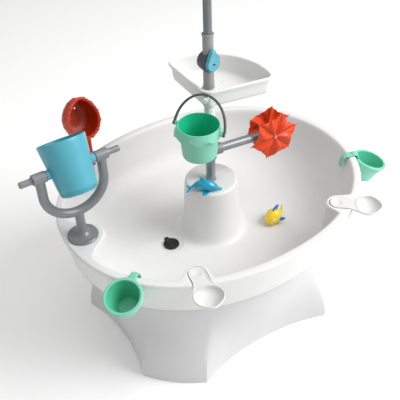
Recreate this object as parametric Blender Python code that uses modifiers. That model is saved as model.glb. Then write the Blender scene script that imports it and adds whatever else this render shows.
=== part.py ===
"""Sand and water table: a moulded basin on a footed stand, with a central mast that carries
a spinner arm, a rain tray and a parasol pole, and with the toys that hang on it.

All sizes are in metres.  The table is drawn about its mast: X runs along the basin, Y
across it, Z is up and the floor is at Z = 0.  TABLE_SHIFT then moves the mast so that
the origin is the middle of the whole object's footprint.
"""

import math

import bmesh
import bpy
from mathutils import Matrix, Vector

OBJECT_NAME = "sand_and_water_table"
TABLE_SHIFT = (0.0088, -0.0053, 0.0)
GAP = 0.0003
MERGE = 0.0001

# Basin rim, drawn as a superellipse
RIM_HALF_X = 0.485
RIM_HALF_Y = 0.394
RIM_POWER = 2.14
RIM_TOP_Z = 0.478
APRON_Z = 0.360
APRON_SCALE = 0.955
BASIN_WALL = 0.004
FLOOR_Z = 0.300
FLOOR_FLAT_R = 0.135
BASIN_SEGMENTS = 40

# Central pedestal
PEDESTAL_TOP_Z = 0.495
PEDESTAL_TOP_R = 0.080
PEDESTAL_FOOT_R = 0.0955
SOCKET_Z = 0.430

# Drain
DRAIN_X = -0.155
DRAIN_RECESS_R = 0.0375
DRAIN_HOLE_R = 0.0160
PLUG_R = 0.0250

# Stand
WAIST_SCALE = 0.80
WAIST_Z = 0.250
STAND_TOP_Z = 0.318
STAND_WALL = 0.005
DECK_TOP_Z = FLOOR_Z - BASIN_WALL - GAP
DECK_THICKNESS = 0.006
FOOT_LONG = Vector((0.389, 0.1795))
FOOT_SHORT = Vector((0.2375, 0.316))
FOOT_BULGE = 0.013
SIDE_X = 0.359
SIDE_Y = 0.274
FLOOR_FLANGE = 0.014

# Screws that hold the basin down on the stand
BOSS_FOOT_Z = 0.2892
BASIN_SCREW_SPOTS = [(sx * 0.200, sy * 0.115) for sx in (-1, 1) for sy in (-1, 1)]

# Mast
MAST_R = 0.01425
MAST_BORE_R = 0.0120
MAST_TOP_Z = 0.628
SPIGOT_R = 0.0125
SPIGOT_TOP_Z = 0.668

# Spinner arm and its tee
ARM_Z = 0.600
ARM_ANGLE = math.radians(-8.0)
ARM_R = 0.0135
ARM_BORE_R = 0.0113
ARM_START = 0.0155
ARM_END = 0.2190
SPINNER_REACH = 0.2050
TEE_R = 0.0190
TEE_HALF_HEIGHT = 0.0265
TEE_SOCKET_END = 0.0360

# Spinner wheels
WHEEL_R = 0.0830
WHEEL_VALLEY_R = 0.0670
WHEEL_RIBS = 6
WHEEL_HUB_OUT = 0.0260
WHEEL_RIM_OUT = 0.0215
WHEEL_PLEAT = 0.0045
WHEEL_THICKNESS = 0.0018
AXLE_R = 0.0025

# Rain tray
TRAY_Z = 0.820
TRAY_REACH = 0.192
TRAY_NOSE_R = 0.031
TRAY_START = math.radians(-11.0)
TRAY_END = math.radians(88.0)
TRAY_DEPTH = 0.058
TRAY_CORNER_R = 0.022
TRAY_SLEEVE_R = 0.0155
TRAY_SLEEVE_BORE_R = SPIGOT_R + GAP
TRAY_POST_R = 0.0215
HOOK_ANGLE = math.radians(-137.0)
HOOK_Z = 0.803
HOOK_R = 0.0070
HOOK_END = 0.0520

# Upper sleeve, clamp and parasol pole
SLEEVE_R = 0.01525
SLEEVE_TOP_Z = 0.982
SLEEVE_FOOT_Z = TRAY_Z - 0.0026
POLE_R = 0.01175
POLE_BORE_R = 0.0104
POLE_FOOT_Z = 0.830
POLE_TOP_Z = 1.200
CLAMP_Z = 0.900
CLAMP_R = 0.0285
CLAMP_FRONT_Y = -0.0170
CLAMP_BACK_Y = 0.0160
KNOB_THICKNESS = 0.0120
KNOB_R = 0.0220
KNOB_TIP_R = 0.0090
KNOB_TIP_RISE = 0.0340

# Yoke and tipping bucket
YOKE_X = -0.4315
YOKE_Y = 0.0120
YOKE_TUBE_R = 0.0135
YOKE_HALF_SPAN = 0.0890
YOKE_BEND_Z = 0.6600
TIP_AXIS_Z = 0.725
BOSS_R = 0.0155
BOSS_INNER = 0.0705
BOSS_OUTER = 0.1085
SPINDLE_R = 0.0066
KNOB_PEG_R = 0.0090
KNOB_PEG_END = 0.1445
KNOB_PEG_START = 0.0885
TIP_BUCKET_R = 0.0665
TIP_BUCKET_FOOT_R = 0.0520
TIP_BUCKET_WALL = 0.0030
TIP_BUCKET_HALF_HEIGHT = 0.0740
TIP_BUCKET_TILT = math.radians(-32.0)
SEAT_LOBE_CENTRE = (-0.428, 0.008)
SEAT_LOBE_R = 0.063

# Hanging bucket and its bail
BUCKET_XY = (-0.0685, -0.0494)
BUCKET_RIM_Z = 0.7480
BUCKET_FOOT_Z = 0.6450
BUCKET_MOUTH_R = 0.0590
BUCKET_SKIRT_R = 0.0650
BUCKET_FOOT_R = 0.0480
SPOUT_ANGLE = math.radians(215.0)
BAIL_PIVOT_Z = 0.7335
BAIL_ANGLE = math.radians(-60.0)
BAIL_HALF_SPAN = 0.0772
BAIL_RISE = 0.0811
BAIL_LEAN = 0.0479
BAIL_WIDTH = 0.0090
BAIL_THICKNESS = 0.0045

# Cups on the rim: place round the rim in degrees, reach beyond it, mouth height, tilt
CUPS = {
    "cup_front": (-151.0, 0.0530, 0.480, 19.0),
    "cup_right": (-18.0, 0.0550, 0.452, 18.0),
}
CUP_MOUTH_R = 0.0550
CUP_FOOT_R = 0.0285
CUP_DEPTH = 0.0720
STRAP_WIDTH = 0.0225
STRAP_THICKNESS = 0.0048

# Strainer scoop
SCOOP_TAIL = Vector((-0.2500, 0.3080, 0.4800))
SCOOP_UP = Vector((0.075, 0.385, 0.911)).normalized()
SCOOP_FACE_YAW = math.radians(12.0)
SCOOP_LENGTH = 0.206
SCOOP_HALF_WIDTH = 0.0560
SCOOP_DEPTH = 0.0660
SCOOP_RING_START = 0.38

# Spoon launchers: place of the finger dimple, direction of the spoon in degrees
LAUNCHERS = {
    "front": ((-0.2460, -0.2980), -102.0),
    "right": ((0.2540, -0.2935), -42.0),
}
LAUNCHER_HANDLE_R = 0.0225
LAUNCHER_PIN = 0.0340
LAUNCHER_BOWL = 0.0890
LAUNCHER_BOWL_HALF_LENGTH = 0.0370
LAUNCHER_BOWL_HALF_WIDTH = 0.0425
LAUNCHER_TIP = 0.1310
LAUNCHER_PIN_Z = 0.4620
CHANNEL_R = 0.0255
CHANNEL_FLOOR_Z = 0.4390
SEAT_R = 0.0370
SEAT_FOOT_Z = 0.4340
SEAT_DROP = 0.0010

# Bath toys
DOLPHIN_XY = (-0.0490, -0.0360)
DOLPHIN_ANGLE = math.radians(-33.0)
DOLPHIN_LENGTH = 0.1000
FISH_XY = (0.1750, -0.1000)
FISH_ANGLE = math.radians(-165.0)

WHITE = (0.86, 0.85, 0.84)
GREY = (0.36, 0.39, 0.42)
DARK_GREY = (0.20, 0.21, 0.22)
CHARCOAL = (0.09, 0.10, 0.10)
MINT = (0.17, 0.66, 0.46)
SKY = (0.15, 0.52, 0.66)
RED = (0.68, 0.05, 0.02)
ORANGE = (0.92, 0.11, 0.03)
BLACK = (0.01, 0.01, 0.01)
STEEL = (0.62, 0.62, 0.60)
OCEAN = (0.01, 0.36, 0.62)
YELLOW = (0.86, 0.64, 0.03)
FIN_BLUE = (0.02, 0.16, 0.62)


# ------------------------------------------------------------------ scene set-up

def clear_scene():
    for obj in list(bpy.data.objects):
        bpy.data.objects.remove(obj, do_unlink=True)
    for coll in list(bpy.data.collections):
        bpy.data.collections.remove(coll)


def new_collection(name):
    coll = bpy.data.collections.new(name)
    bpy.context.scene.collection.children.link(coll)
    return coll


clear_scene()
PARTS = new_collection(OBJECT_NAME)
CUTTERS = new_collection("cutters")


def new_empty(name, location=(0, 0, 0), rotation=None, parent=None):
    empty = bpy.data.objects.new(name, None)
    empty.empty_display_size = 0.03
    CUTTERS.objects.link(empty)
    empty.location = location
    if rotation is not None:
        empty.rotation_mode = "QUATERNION"
        empty.rotation_quaternion = rotation
    empty.parent = parent
    return empty


TABLE = new_empty("table_frame", TABLE_SHIFT)


def plastic(name, colour, roughness, metallic):
    material = bpy.data.materials.new(name)
    material.use_nodes = True
    shader = material.node_tree.nodes["Principled BSDF"]
    shader.inputs["Base Color"].default_value = (*colour, 1.0)
    shader.inputs["Roughness"].default_value = roughness
    shader.inputs["Metallic"].default_value = metallic
    material.diffuse_color = (*colour, 1.0)
    return material


def finish_part(obj, colour, roughness=0.4, metallic=0.0, smooth_angle=40.0):
    """Make an object one of the table's parts, with its own material."""
    for coll in list(obj.users_collection):
        coll.objects.unlink(obj)
    PARTS.objects.link(obj)
    obj.data.materials.clear()
    obj.data.materials.append(plastic(obj.name, colour, roughness, metallic))
    if obj.type == "MESH" and len(obj.data.polygons):
        obj.data.shade_smooth()
        obj.data.set_sharp_from_angle(angle=math.radians(smooth_angle))
    return obj


# ------------------------------------------------------------------ shape makers

def mesh_object(name, bm, location=(0, 0, 0), rotation=None, parent=None):
    bmesh.ops.recalc_face_normals(bm, faces=bm.faces)
    mesh = bpy.data.meshes.new(name)
    bm.to_mesh(mesh)
    bm.free()
    return place_object(name, mesh, location, rotation, parent)


def place_object(name, data, location=(0, 0, 0), rotation=None, parent=None):
    obj = bpy.data.objects.new(name, data)
    CUTTERS.objects.link(obj)
    obj.hide_render = True
    obj.display_type = "WIRE"
    obj.location = location
    if rotation is not None:
        obj.rotation_mode = "QUATERNION"
        obj.rotation_quaternion = rotation
    obj.parent = parent or TABLE
    return obj


def show(obj):
    obj.hide_render = False
    obj.display_type = "TEXTURED"
    return obj


def part(obj, colour, roughness=0.4, metallic=0.0, smooth_angle=40.0):
    return finish_part(show(obj), colour, roughness, metallic, smooth_angle)


def turn_to(direction):
    """The rotation that turns +Z to a direction."""
    return Vector((0, 0, 1)).rotation_difference(Vector(direction))


def about_z(angle):
    return Matrix.Rotation(angle, 3, "Z").to_quaternion()


def polar(radius, angle, z=0.0):
    return Vector((radius * math.cos(angle), radius * math.sin(angle), z))


def cylinder(name, radius, length, segments=20, end_radius=None, **place):
    """A solid cylinder or cone from Z = 0 up to its length."""
    bm = bmesh.new()
    top_radius = radius if end_radius is None else end_radius
    bmesh.ops.create_cone(
        bm, cap_ends=True, segments=segments, radius1=radius, radius2=top_radius, depth=length,
        matrix=Matrix.Translation((0, 0, length / 2)))
    return mesh_object(name, bm, **place)


def prism(name, outline, low, high, **place):
    """A flat outline in XY, extruded from one height to another."""
    bm = bmesh.new()
    face = bm.faces.new([bm.verts.new((x, y, low)) for x, y in outline])
    swept = bmesh.ops.extrude_face_region(bm, geom=[face])
    top = [item for item in swept["geom"] if isinstance(item, bmesh.types.BMVert)]
    bmesh.ops.translate(bm, verts=top, vec=(0, 0, high - low))
    return mesh_object(name, bm, **place)


def turned(name, profile, steps=32, closed=True, **place):
    """A turned solid: its profile runs down the outer side, then back up the inside."""
    mesh = bpy.data.meshes.new(name)
    points = [(radius, 0.0, z) for radius, z in profile]
    edges = [(k, k + 1) for k in range(len(points) - 1)]
    if closed:
        edges.append((len(points) - 1, 0))
    mesh.from_pydata(points, edges, [])
    obj = place_object(name, mesh, **place)
    screw = obj.modifiers.new("turn", "SCREW")
    screw.axis = "Z"
    screw.angle = math.tau
    screw.steps = steps
    screw.render_steps = steps
    screw.use_merge_vertices = True
    screw.merge_threshold = MERGE
    screw.use_smooth_shade = True
    return obj


def loft(name, rings, wrap=False, **place):
    """A skin over rings of points; a ring of one point closes an end, wrap joins the ends."""
    bm = bmesh.new()
    loops = [[bm.verts.new(point) for point in ring] for ring in rings]
    pairs = list(zip(loops, loops[1:]))
    if wrap:
        pairs.append((loops[-1], loops[0]))
    for first, second in pairs:
        skin(bm, first, second)
    if not wrap:
        for end in (loops[0], loops[-1]):
            if len(end) > 1:
                bm.faces.new(end)
    return mesh_object(name, bm, **place)


def skin(bm, first, second):
    count = max(len(first), len(second))
    if count == 1:
        return
    for k in range(count):
        after = (k + 1) % count
        corners = []
        for loop, index in ((first, k), (first, after), (second, after), (second, k)):
            vert = loop[index] if len(loop) > 1 else loop[0]
            if vert not in corners:
                corners.append(vert)
        bm.faces.new(corners)


def tube(name, points, radius, resolution=3, cyclic=False, **place):
    """A round bar along points, turned from a curve into a mesh with welded caps."""
    curve = bpy.data.curves.new(name, "CURVE")
    curve.dimensions = "3D"
    curve.bevel_depth = radius
    curve.bevel_resolution = resolution
    curve.use_fill_caps = True
    spline = curve.splines.new("POLY")
    spline.points.add(len(points) - 1)
    spline.use_cyclic_u = cyclic
    for spline_point, point in zip(spline.points, points):
        spline_point.co = (*point, 1.0)
    guide = place_object(name + "_guide", curve, **place)
    bpy.context.view_layer.update()
    graph = bpy.context.evaluated_depsgraph_get()
    mesh = bpy.data.meshes.new_from_object(guide.evaluated_get(graph))
    bm = bmesh.new()
    bm.from_mesh(mesh)
    bmesh.ops.remove_doubles(bm, verts=bm.verts, dist=MERGE)
    bmesh.ops.recalc_face_normals(bm, faces=bm.faces)
    bm.to_mesh(mesh)
    bm.free()
    obj = place_object(name, mesh)
    obj.parent = guide.parent
    obj.matrix_world = guide.matrix_world
    bpy.data.objects.remove(guide, do_unlink=True)
    return obj


def boolean(obj, other, operation):
    modifier = obj.modifiers.new(operation.lower(), "BOOLEAN")
    modifier.operation = operation
    modifier.solver = "EXACT"
    modifier.object = other
    return obj


def cut(obj, *cutters):
    for cutter in cutters:
        boolean(obj, cutter, "DIFFERENCE")
    return obj


def join(obj, *others):
    for other in others:
        boolean(obj, other, "UNION")
    return obj


def arc(centre, radius, start, end, steps):
    """Points along an arc, both ends included; angles in radians."""
    span = end - start
    angles = [start + span * k / steps for k in range(steps + 1)]
    return [(centre[0] + radius * math.cos(a), centre[1] + radius * math.sin(a)) for a in angles]


def capsule_outline(radius, length, steps=10):
    """A half circle about the origin that runs on along +X as a straight-sided slot."""
    return arc((0, 0), radius, math.pi / 2, 1.5 * math.pi, steps) + [(length, -radius), (length, radius)]


# ------------------------------------------------------------------ basin

def rim_radius(angle, inset=0.0, scale=1.0):
    x_part = abs(math.cos(angle)) / (RIM_HALF_X * scale - inset)
    y_part = abs(math.sin(angle)) / (RIM_HALF_Y * scale - inset)
    return (x_part ** RIM_POWER + y_part ** RIM_POWER) ** (-1 / RIM_POWER)


def rim_normal(angle):
    point = polar(rim_radius(angle), angle)
    slope_x = math.copysign((abs(point.x) / RIM_HALF_X) ** (RIM_POWER - 1) / RIM_HALF_X, point.x)
    slope_y = math.copysign((abs(point.y) / RIM_HALF_Y) ** (RIM_POWER - 1) / RIM_HALF_Y, point.y)
    return Vector((slope_x, slope_y, 0.0)).normalized()


def basin_angles():
    return [math.tau * k / BASIN_SEGMENTS for k in range(BASIN_SEGMENTS)]


def rim_ring(inset, z, scale=1.0):
    return [polar(rim_radius(a, inset, scale), a, z) for a in basin_angles()]


def round_ring(radius, z):
    return [polar(radius, a, z) for a in basin_angles()]


def basin_shell():
    """Apron, rim, bowl, floor and pedestal, then back along the underside."""
    wall = BASIN_WALL
    top = RIM_TOP_Z
    bowl = [(0.0420, 0.410), (0.0620, 0.365), (0.0950, 0.332), (0.1400, 0.311), (0.1950, 0.3015)]
    rings = [
        rim_ring(0.0, APRON_Z, APRON_SCALE),
        rim_ring(0.0, top - 0.012),
        rim_ring(0.0022, top - 0.0038),
        rim_ring(0.0080, top),
        rim_ring(0.0210, top),
        rim_ring(0.0265, top - 0.0038),
        rim_ring(0.0290, top - 0.0160),
    ]
    rings += [rim_ring(inset, z) for inset, z in bowl]
    rings += [
        round_ring(FLOOR_FLAT_R, FLOOR_Z),
        round_ring(0.1120, FLOOR_Z + 0.0010),
        round_ring(0.0995, FLOOR_Z + 0.0090),
        round_ring(PEDESTAL_FOOT_R - 0.0005, FLOOR_Z + 0.0260),
        round_ring(PEDESTAL_TOP_R + 0.0015, PEDESTAL_TOP_Z - 0.0140),
        round_ring(PEDESTAL_TOP_R - 0.0010, PEDESTAL_TOP_Z - 0.0045),
        round_ring(PEDESTAL_TOP_R - 0.0070, PEDESTAL_TOP_Z),
        round_ring(MAST_R + GAP, PEDESTAL_TOP_Z),
        round_ring(MAST_R + GAP, SOCKET_Z),
        [Vector((0, 0, SOCKET_Z))],
        [Vector((0, 0, SOCKET_Z - wall))],
        round_ring(MAST_R + wall, SOCKET_Z - wall),
        round_ring(MAST_R + wall, PEDESTAL_TOP_Z - wall),
        round_ring(PEDESTAL_TOP_R - 0.0090, PEDESTAL_TOP_Z - wall),
        round_ring(PEDESTAL_TOP_R - 0.0025, PEDESTAL_TOP_Z - 0.0140),
        round_ring(PEDESTAL_FOOT_R - wall, FLOOR_Z + 0.0260),
        round_ring(0.0960, FLOOR_Z + 0.0065),
        round_ring(0.1090, FLOOR_Z - wall),
        round_ring(FLOOR_FLAT_R, FLOOR_Z - wall),
    ]
    rings += [rim_ring(inset - wall * 0.8, z - wall * 0.6) for inset, z in reversed(bowl)]
    rings += [
        rim_ring(0.0250, top - 0.0160),
        rim_ring(0.0225, top - wall),
        rim_ring(0.0070, top - wall),
        rim_ring(wall, top - 0.0120),
        rim_ring(wall, APRON_Z, APRON_SCALE),
    ]
    bm = bmesh.new()
    loops = [[bm.verts.new(point) for point in ring] for ring in rings]
    for first, second in zip(loops, loops[1:] + loops[:1]):
        skin(bm, first, second)
    return mesh_object("basin", bm)


def seat_block(name, outline_obj):
    """Trim a seat's block to the inside of the rim's outer skin."""
    low = SEAT_FOOT_Z - 0.004
    envelope = loft(name + "_envelope", [
        rim_ring(0.0015, low, 0.985),
        rim_ring(0.0015, RIM_TOP_Z - 0.0120),
        rim_ring(0.0065, RIM_TOP_Z - 0.0005),
    ])
    return boolean(outline_obj, envelope, "INTERSECT")


def launcher_frame(key):
    (x, y), heading = LAUNCHERS[key]
    return Vector((x, y, 0.0)), about_z(math.radians(heading))


def build_basin():
    basin = basin_shell()
    lobe = cylinder("yoke_seat_block", SEAT_LOBE_R, RIM_TOP_Z - SEAT_DROP - SEAT_FOOT_Z, 28,
                    location=(*SEAT_LOBE_CENTRE, SEAT_FOOT_Z))
    join(basin, seat_block("yoke_seat", lobe))
    for key in LAUNCHERS:
        spot, heading = launcher_frame(key)
        block = prism(key + "_seat_block", capsule_outline(SEAT_R, 0.0900), SEAT_FOOT_Z,
                      RIM_TOP_Z - SEAT_DROP,
                      location=spot, rotation=heading)
        join(basin, seat_block(key + "_seat", block))
    for key in LAUNCHERS:
        spot, heading = launcher_frame(key)
        channel = prism(key + "_channel", capsule_outline(CHANNEL_R, 0.1200), CHANNEL_FLOOR_Z, 0.5200,
                        location=spot, rotation=heading)
        side = heading @ Vector((0, 1, 0))
        pin_hole = cylinder(key + "_pin_hole", AXLE_R + GAP, 0.0680, 12,
                            location=launcher_pin_centre(key) - side * 0.0340, rotation=turn_to(side))
        cut(basin, channel, pin_hole)
    yoke_hole = cylinder("yoke_screw_hole", 0.0036, 0.0800, 16, location=(YOKE_X, YOKE_Y, 0.4200))
    recess = cylinder("drain_recess", DRAIN_RECESS_R, 0.0200, 28, location=(DRAIN_X, 0, FLOOR_Z - 0.0018))
    drain = cylinder("drain_hole", DRAIN_HOLE_R, 0.0300, 24, location=(DRAIN_X, 0, FLOOR_Z - 0.0150))
    cut(basin, yoke_hole, recess, drain)
    for index, (x, y) in enumerate(BASIN_SCREW_SPOTS):
        boss = cylinder(f"basin_boss_{index}", 0.0085, FLOOR_Z - 0.0005 - BOSS_FOOT_Z, 12,
                        location=(x, y, BOSS_FOOT_Z))
        join(basin, boss)
    for index, (x, y) in enumerate(BASIN_SCREW_SPOTS):
        bore = cylinder(f"basin_boss_bore_{index}", 0.0025, 0.0220, 8, location=(x, y, 0.2750))
        cut(basin, bore)
    return part(basin, WHITE, 0.38)


def build_drain_plug():
    plug = turned("drain_plug", [
        (0.0, 0.3042), (0.0060, 0.3042), (0.0075, 0.3026), (0.0120, 0.3026), (0.0140, 0.3040),
        (PLUG_R - 0.0015, 0.3040), (PLUG_R, 0.3025), (PLUG_R, 0.2986), (DRAIN_HOLE_R - GAP, 0.2986),
        (DRAIN_HOLE_R - 0.0008, 0.2900), (0.0, 0.2900),
    ], 20, closed=False, location=(DRAIN_X, 0, 0))
    tab = cylinder("plug_tab", 0.0085, 0.0030, 14, location=(DRAIN_X, 0.0280, 0.2990))
    return part(join(plug, tab), BLACK, 0.5)


# ------------------------------------------------------------------ stand

def stand_floor_outline():
    """Quarter outline of the four-footed floor edge, mirrored round; it starts on +X."""
    side_steps = 4
    foot_steps = 4
    quarter = []
    for k in range(side_steps):
        ease = (k / side_steps) ** 2.2
        quarter.append(Vector((SIDE_X + (FOOT_LONG.x - SIDE_X) * ease, FOOT_LONG.y * k / side_steps)))
    chord = FOOT_SHORT - FOOT_LONG
    outward = Vector((-chord.y, chord.x)).normalized()
    if outward.dot(FOOT_LONG) < 0:
        outward.negate()
    for k in range(foot_steps + 1):
        s = k / foot_steps
        quarter.append(FOOT_LONG + chord * s + outward * FOOT_BULGE * 4 * s * (1 - s))
    for k in range(1, side_steps + 1):
        s = 1 - k / side_steps
        quarter.append(Vector((FOOT_SHORT.x * s, SIDE_Y + (FOOT_SHORT.y - SIDE_Y) * s ** 2.2)))
    left = [Vector((-p.x, p.y)) for p in reversed(quarter[:-1])]
    upper = quarter + left
    lower = [Vector((p.x, -p.y)) for p in reversed(upper[1:-1])]
    return upper + lower


def stand_ring(z, inset=0.0):
    """The stand's outline at a height: the waist, blended into the feet below it."""
    share = 0.5 * (1 + math.cos(math.pi * min(z / WAIST_Z, 1.0)))
    ring = []
    for point in stand_floor_outline():
        angle = math.atan2(point.y, point.x)
        waist = rim_radius(angle, 0.0, WAIST_SCALE)
        radius = waist + (point.length - waist) * share - inset
        ring.append(polar(radius, angle, z))
    return ring


def build_stand():
    wall = STAND_WALL
    heights = (WAIST_Z, 0.185, 0.125, 0.060)
    deck_foot = DECK_TOP_Z - DECK_THICKNESS
    rings = [stand_ring(DECK_TOP_Z, 0.0130), stand_ring(STAND_TOP_Z, 0.0060)]
    rings += [stand_ring(STAND_TOP_Z - 0.0010, 0.0010)]
    rings += [stand_ring(z) for z in heights]
    rings += [stand_ring(0.0040), stand_ring(0.0, 0.0020)]
    rings += [stand_ring(0.0, FLOOR_FLANGE), stand_ring(wall, FLOOR_FLANGE), stand_ring(wall + 0.0020, wall)]
    rings += [stand_ring(z, wall) for z in reversed(heights)]
    rings += [stand_ring(deck_foot, wall)]
    stand = loft("base_stand", rings)
    outlet = cylinder("deck_outlet", 0.0230, 0.0400, 24, location=(DRAIN_X, 0, 0.2700))
    cut(stand, outlet)
    for index, (x, y) in enumerate(BASIN_SCREW_SPOTS):
        hole = cylinder(f"deck_hole_{index}", 0.0088, 0.0400, 12, location=(x, y, 0.2700))
        cut(stand, hole)
    return part(stand, WHITE, 0.45)


def screw_profile(head_r, head_height, shank_r, shank_length):
    """Head below, shank above, standing on Z = 0."""
    top = head_height + shank_length
    return [(0.0, top), (shank_r, top), (shank_r, head_height), (head_r, head_height),
            (head_r, head_height * 0.4), (head_r * 0.7, 0.0), (0.0, 0.0)]


def build_basin_screws():
    head_z = BOSS_FOOT_Z - GAP - 0.0040
    profile = screw_profile(0.0120, 0.0040, 0.0021, 0.0070)
    for index, (x, y) in enumerate(BASIN_SCREW_SPOTS):
        screw = turned(f"basin_screw_{index + 1}", profile, 10, closed=False, location=(x, y, head_z))
        part(screw, STEEL, 0.3, 0.9)


# ------------------------------------------------------------------ mast, arm, spinner

def build_mast_lower():
    mast = turned("mast_lower", [
        (SPIGOT_R, SPIGOT_TOP_Z), (SPIGOT_R, MAST_TOP_Z), (MAST_R, MAST_TOP_Z), (MAST_R, SOCKET_Z + GAP),
        (MAST_BORE_R, SOCKET_Z + GAP), (MAST_BORE_R, MAST_TOP_Z - 0.0040), (0.0105, MAST_TOP_Z - 0.0020),
        (0.0105, SPIGOT_TOP_Z),
    ], 20)
    return part(mast, GREY, 0.35)


def build_arm_tee():
    low = ARM_Z - TEE_HALF_HEIGHT
    collar = cylinder("arm_tee", TEE_R, TEE_HALF_HEIGHT * 2 - 0.0002, 28, location=(0, 0, low))
    way = polar(1.0, ARM_ANGLE)
    socket = cylinder("tee_socket", 0.0180, TEE_SOCKET_END, 24, location=(0, 0, ARM_Z),
                      rotation=turn_to(way))
    mast_bore = cylinder("tee_mast_bore", MAST_R + GAP, 0.0800, 28, location=(0, 0, low - 0.0100))
    arm_bore = cylinder("tee_arm_bore", ARM_R + GAP, 0.0600, 24,
                        location=way * 0.0040 + Vector((0, 0, ARM_Z)),
                        rotation=turn_to(way))
    return part(cut(join(collar, socket), mast_bore, arm_bore), GREY, 0.35)


def arm_point(distance, lift=0.0):
    return polar(distance, ARM_ANGLE, ARM_Z + lift)


def axle_way():
    return Vector((math.sin(ARM_ANGLE), -math.cos(ARM_ANGLE), 0.0))


def build_spinner_arm():
    way = polar(1.0, ARM_ANGLE)
    arm = turned("spinner_arm", [
        (ARM_R, ARM_END - ARM_START), (ARM_R, 0.0), (ARM_BORE_R, 0.0), (ARM_BORE_R, ARM_END - ARM_START),
    ], 24, location=arm_point(ARM_START), rotation=turn_to(way))
    hole = cylinder("arm_axle_hole", AXLE_R + GAP, 0.0600, 12,
                    location=arm_point(SPINNER_REACH) - axle_way() * 0.0300, rotation=turn_to(axle_way()))
    return part(cut(arm, hole), GREY, 0.35)


def build_arm_cap():
    way = polar(1.0, ARM_ANGLE)
    length = 0.0075
    cap = turned("arm_cap", [
        (0.0, length + 0.0030), (0.0080, length + 0.0022), (ARM_R, length), (ARM_R, length - 0.0015),
        (ARM_BORE_R - GAP, length - 0.0015), (ARM_BORE_R - GAP, 0.0), (0.0, 0.0),
    ], 24, closed=False, location=arm_point(ARM_END + GAP - length + 0.0015), rotation=turn_to(way))
    return part(cap, GREY, 0.35)


def build_spinner_axle():
    half = WHEEL_HUB_OUT + 0.0050
    axle = turned("spinner_axle", [
        (0.0, half + 0.0016), (0.0030, half + 0.0014), (0.0048, half + 0.0004), (0.0048, half - 0.0010),
        (AXLE_R, half - 0.0010), (AXLE_R, -half + 0.0010), (0.0048, -half + 0.0010),
        (0.0048, -half - 0.0004), (0.0030, -half - 0.0014), (0.0, -half - 0.0016),
    ], 16, closed=False, location=arm_point(SPINNER_REACH), rotation=turn_to(axle_way()))
    return part(axle, STEEL, 0.25, 0.9)


def wheel_surface(radius_share, turn, offset):
    """A shallow umbrella: panels billow out between the ribs; hub outward, rim inward."""
    phase = (turn * WHEEL_RIBS / math.tau) % 1.0
    rib = abs(1.0 - 2.0 * phase)
    edge = WHEEL_VALLEY_R + (WHEEL_R - WHEEL_VALLEY_R) * rib ** 1.6
    radius = 0.0055 + (edge - 0.0055) * radius_share
    cone = WHEEL_HUB_OUT + (WHEEL_RIM_OUT - WHEEL_HUB_OUT) * radius_share
    pleat = WHEEL_PLEAT * radius_share * (1.0 - rib)
    return polar(radius, turn, cone + pleat + offset)


def build_wheel(name, side, phase):
    """One pleated wheel on the axle; side is +1 in front of the arm and -1 behind it."""
    turns = [math.tau * k / (WHEEL_RIBS * 4) for k in range(WHEEL_RIBS * 4)]
    shares = (0.0, 0.5, 1.0)
    rings = [[wheel_surface(s, t, 0.0) for t in turns] for s in shares]
    rings += [[wheel_surface(s, t, -WHEEL_THICKNESS) for t in turns] for s in reversed(shares)]
    facing = turn_to(axle_way() * side) @ about_z(phase)
    wheel = loft(name, rings, wrap=True, location=arm_point(SPINNER_REACH), rotation=facing)
    bm = bmesh.new()
    bmesh.ops.create_cone(bm, cap_ends=True, segments=16, radius1=0.0078, radius2=0.0062, depth=0.0095,
                          matrix=Matrix.Translation((0, 0, WHEEL_HUB_OUT - 0.0015)))
    hub = mesh_object(name + "_hub", bm, location=wheel.location, rotation=facing)
    bore = cylinder(name + "_bore", AXLE_R + GAP, 0.0800, 12, location=wheel.location,
                    rotation=turn_to(axle_way() * side))
    return part(cut(join(wheel, hub), bore), ORANGE, 0.4, smooth_angle=25)


# ------------------------------------------------------------------ rain tray

def tray_outline(inset):
    """A fan about the mast: round nose, two straight sides, curved back with round corners."""
    middle = (TRAY_START + TRAY_END) / 2
    half = (TRAY_END - TRAY_START) / 2
    nose = TRAY_NOSE_R - inset
    reach = TRAY_REACH - inset
    corner = max(TRAY_CORNER_R - inset * 0.6, 0.004)
    points = []
    for sign in (1, -1):
        side_way = Vector((math.cos(sign * half), math.sin(sign * half)))
        out = Vector((-side_way.y, side_way.x)) * sign
        start = out * nose
        run = math.sqrt((reach - corner) ** 2 - (nose - corner) ** 2)
        centre = side_way * run + out * (nose - corner)
        start_angle = math.atan2(out.y, out.x)
        end_angle = math.atan2(centre.y, centre.x)
        side = arc(centre, corner, start_angle, end_angle, 4)
        side_points = [tuple(start)] + side
        points.append(side_points if sign == 1 else list(reversed(side_points)))
    last = points[0][-1]
    first = points[1][0]
    back = arc((0, 0), reach, math.atan2(last[1], last[0]), math.atan2(first[1], first[0]), 10)
    nose_start = math.atan2(points[1][-1][1], points[1][-1][0])
    nose_end = math.atan2(points[0][0][1], points[0][0][0])
    nose_arc = arc((0, 0), nose, nose_start, nose_end - math.tau, 8)
    outline = points[0] + back[1:-1] + points[1] + nose_arc[1:-1]
    turn = Matrix.Rotation(middle, 2)
    return [tuple(turn @ Vector(p)) for p in outline]


def tray_ring(inset, z):
    return [Vector((x, y, z)) for x, y in tray_outline(inset)]


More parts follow.
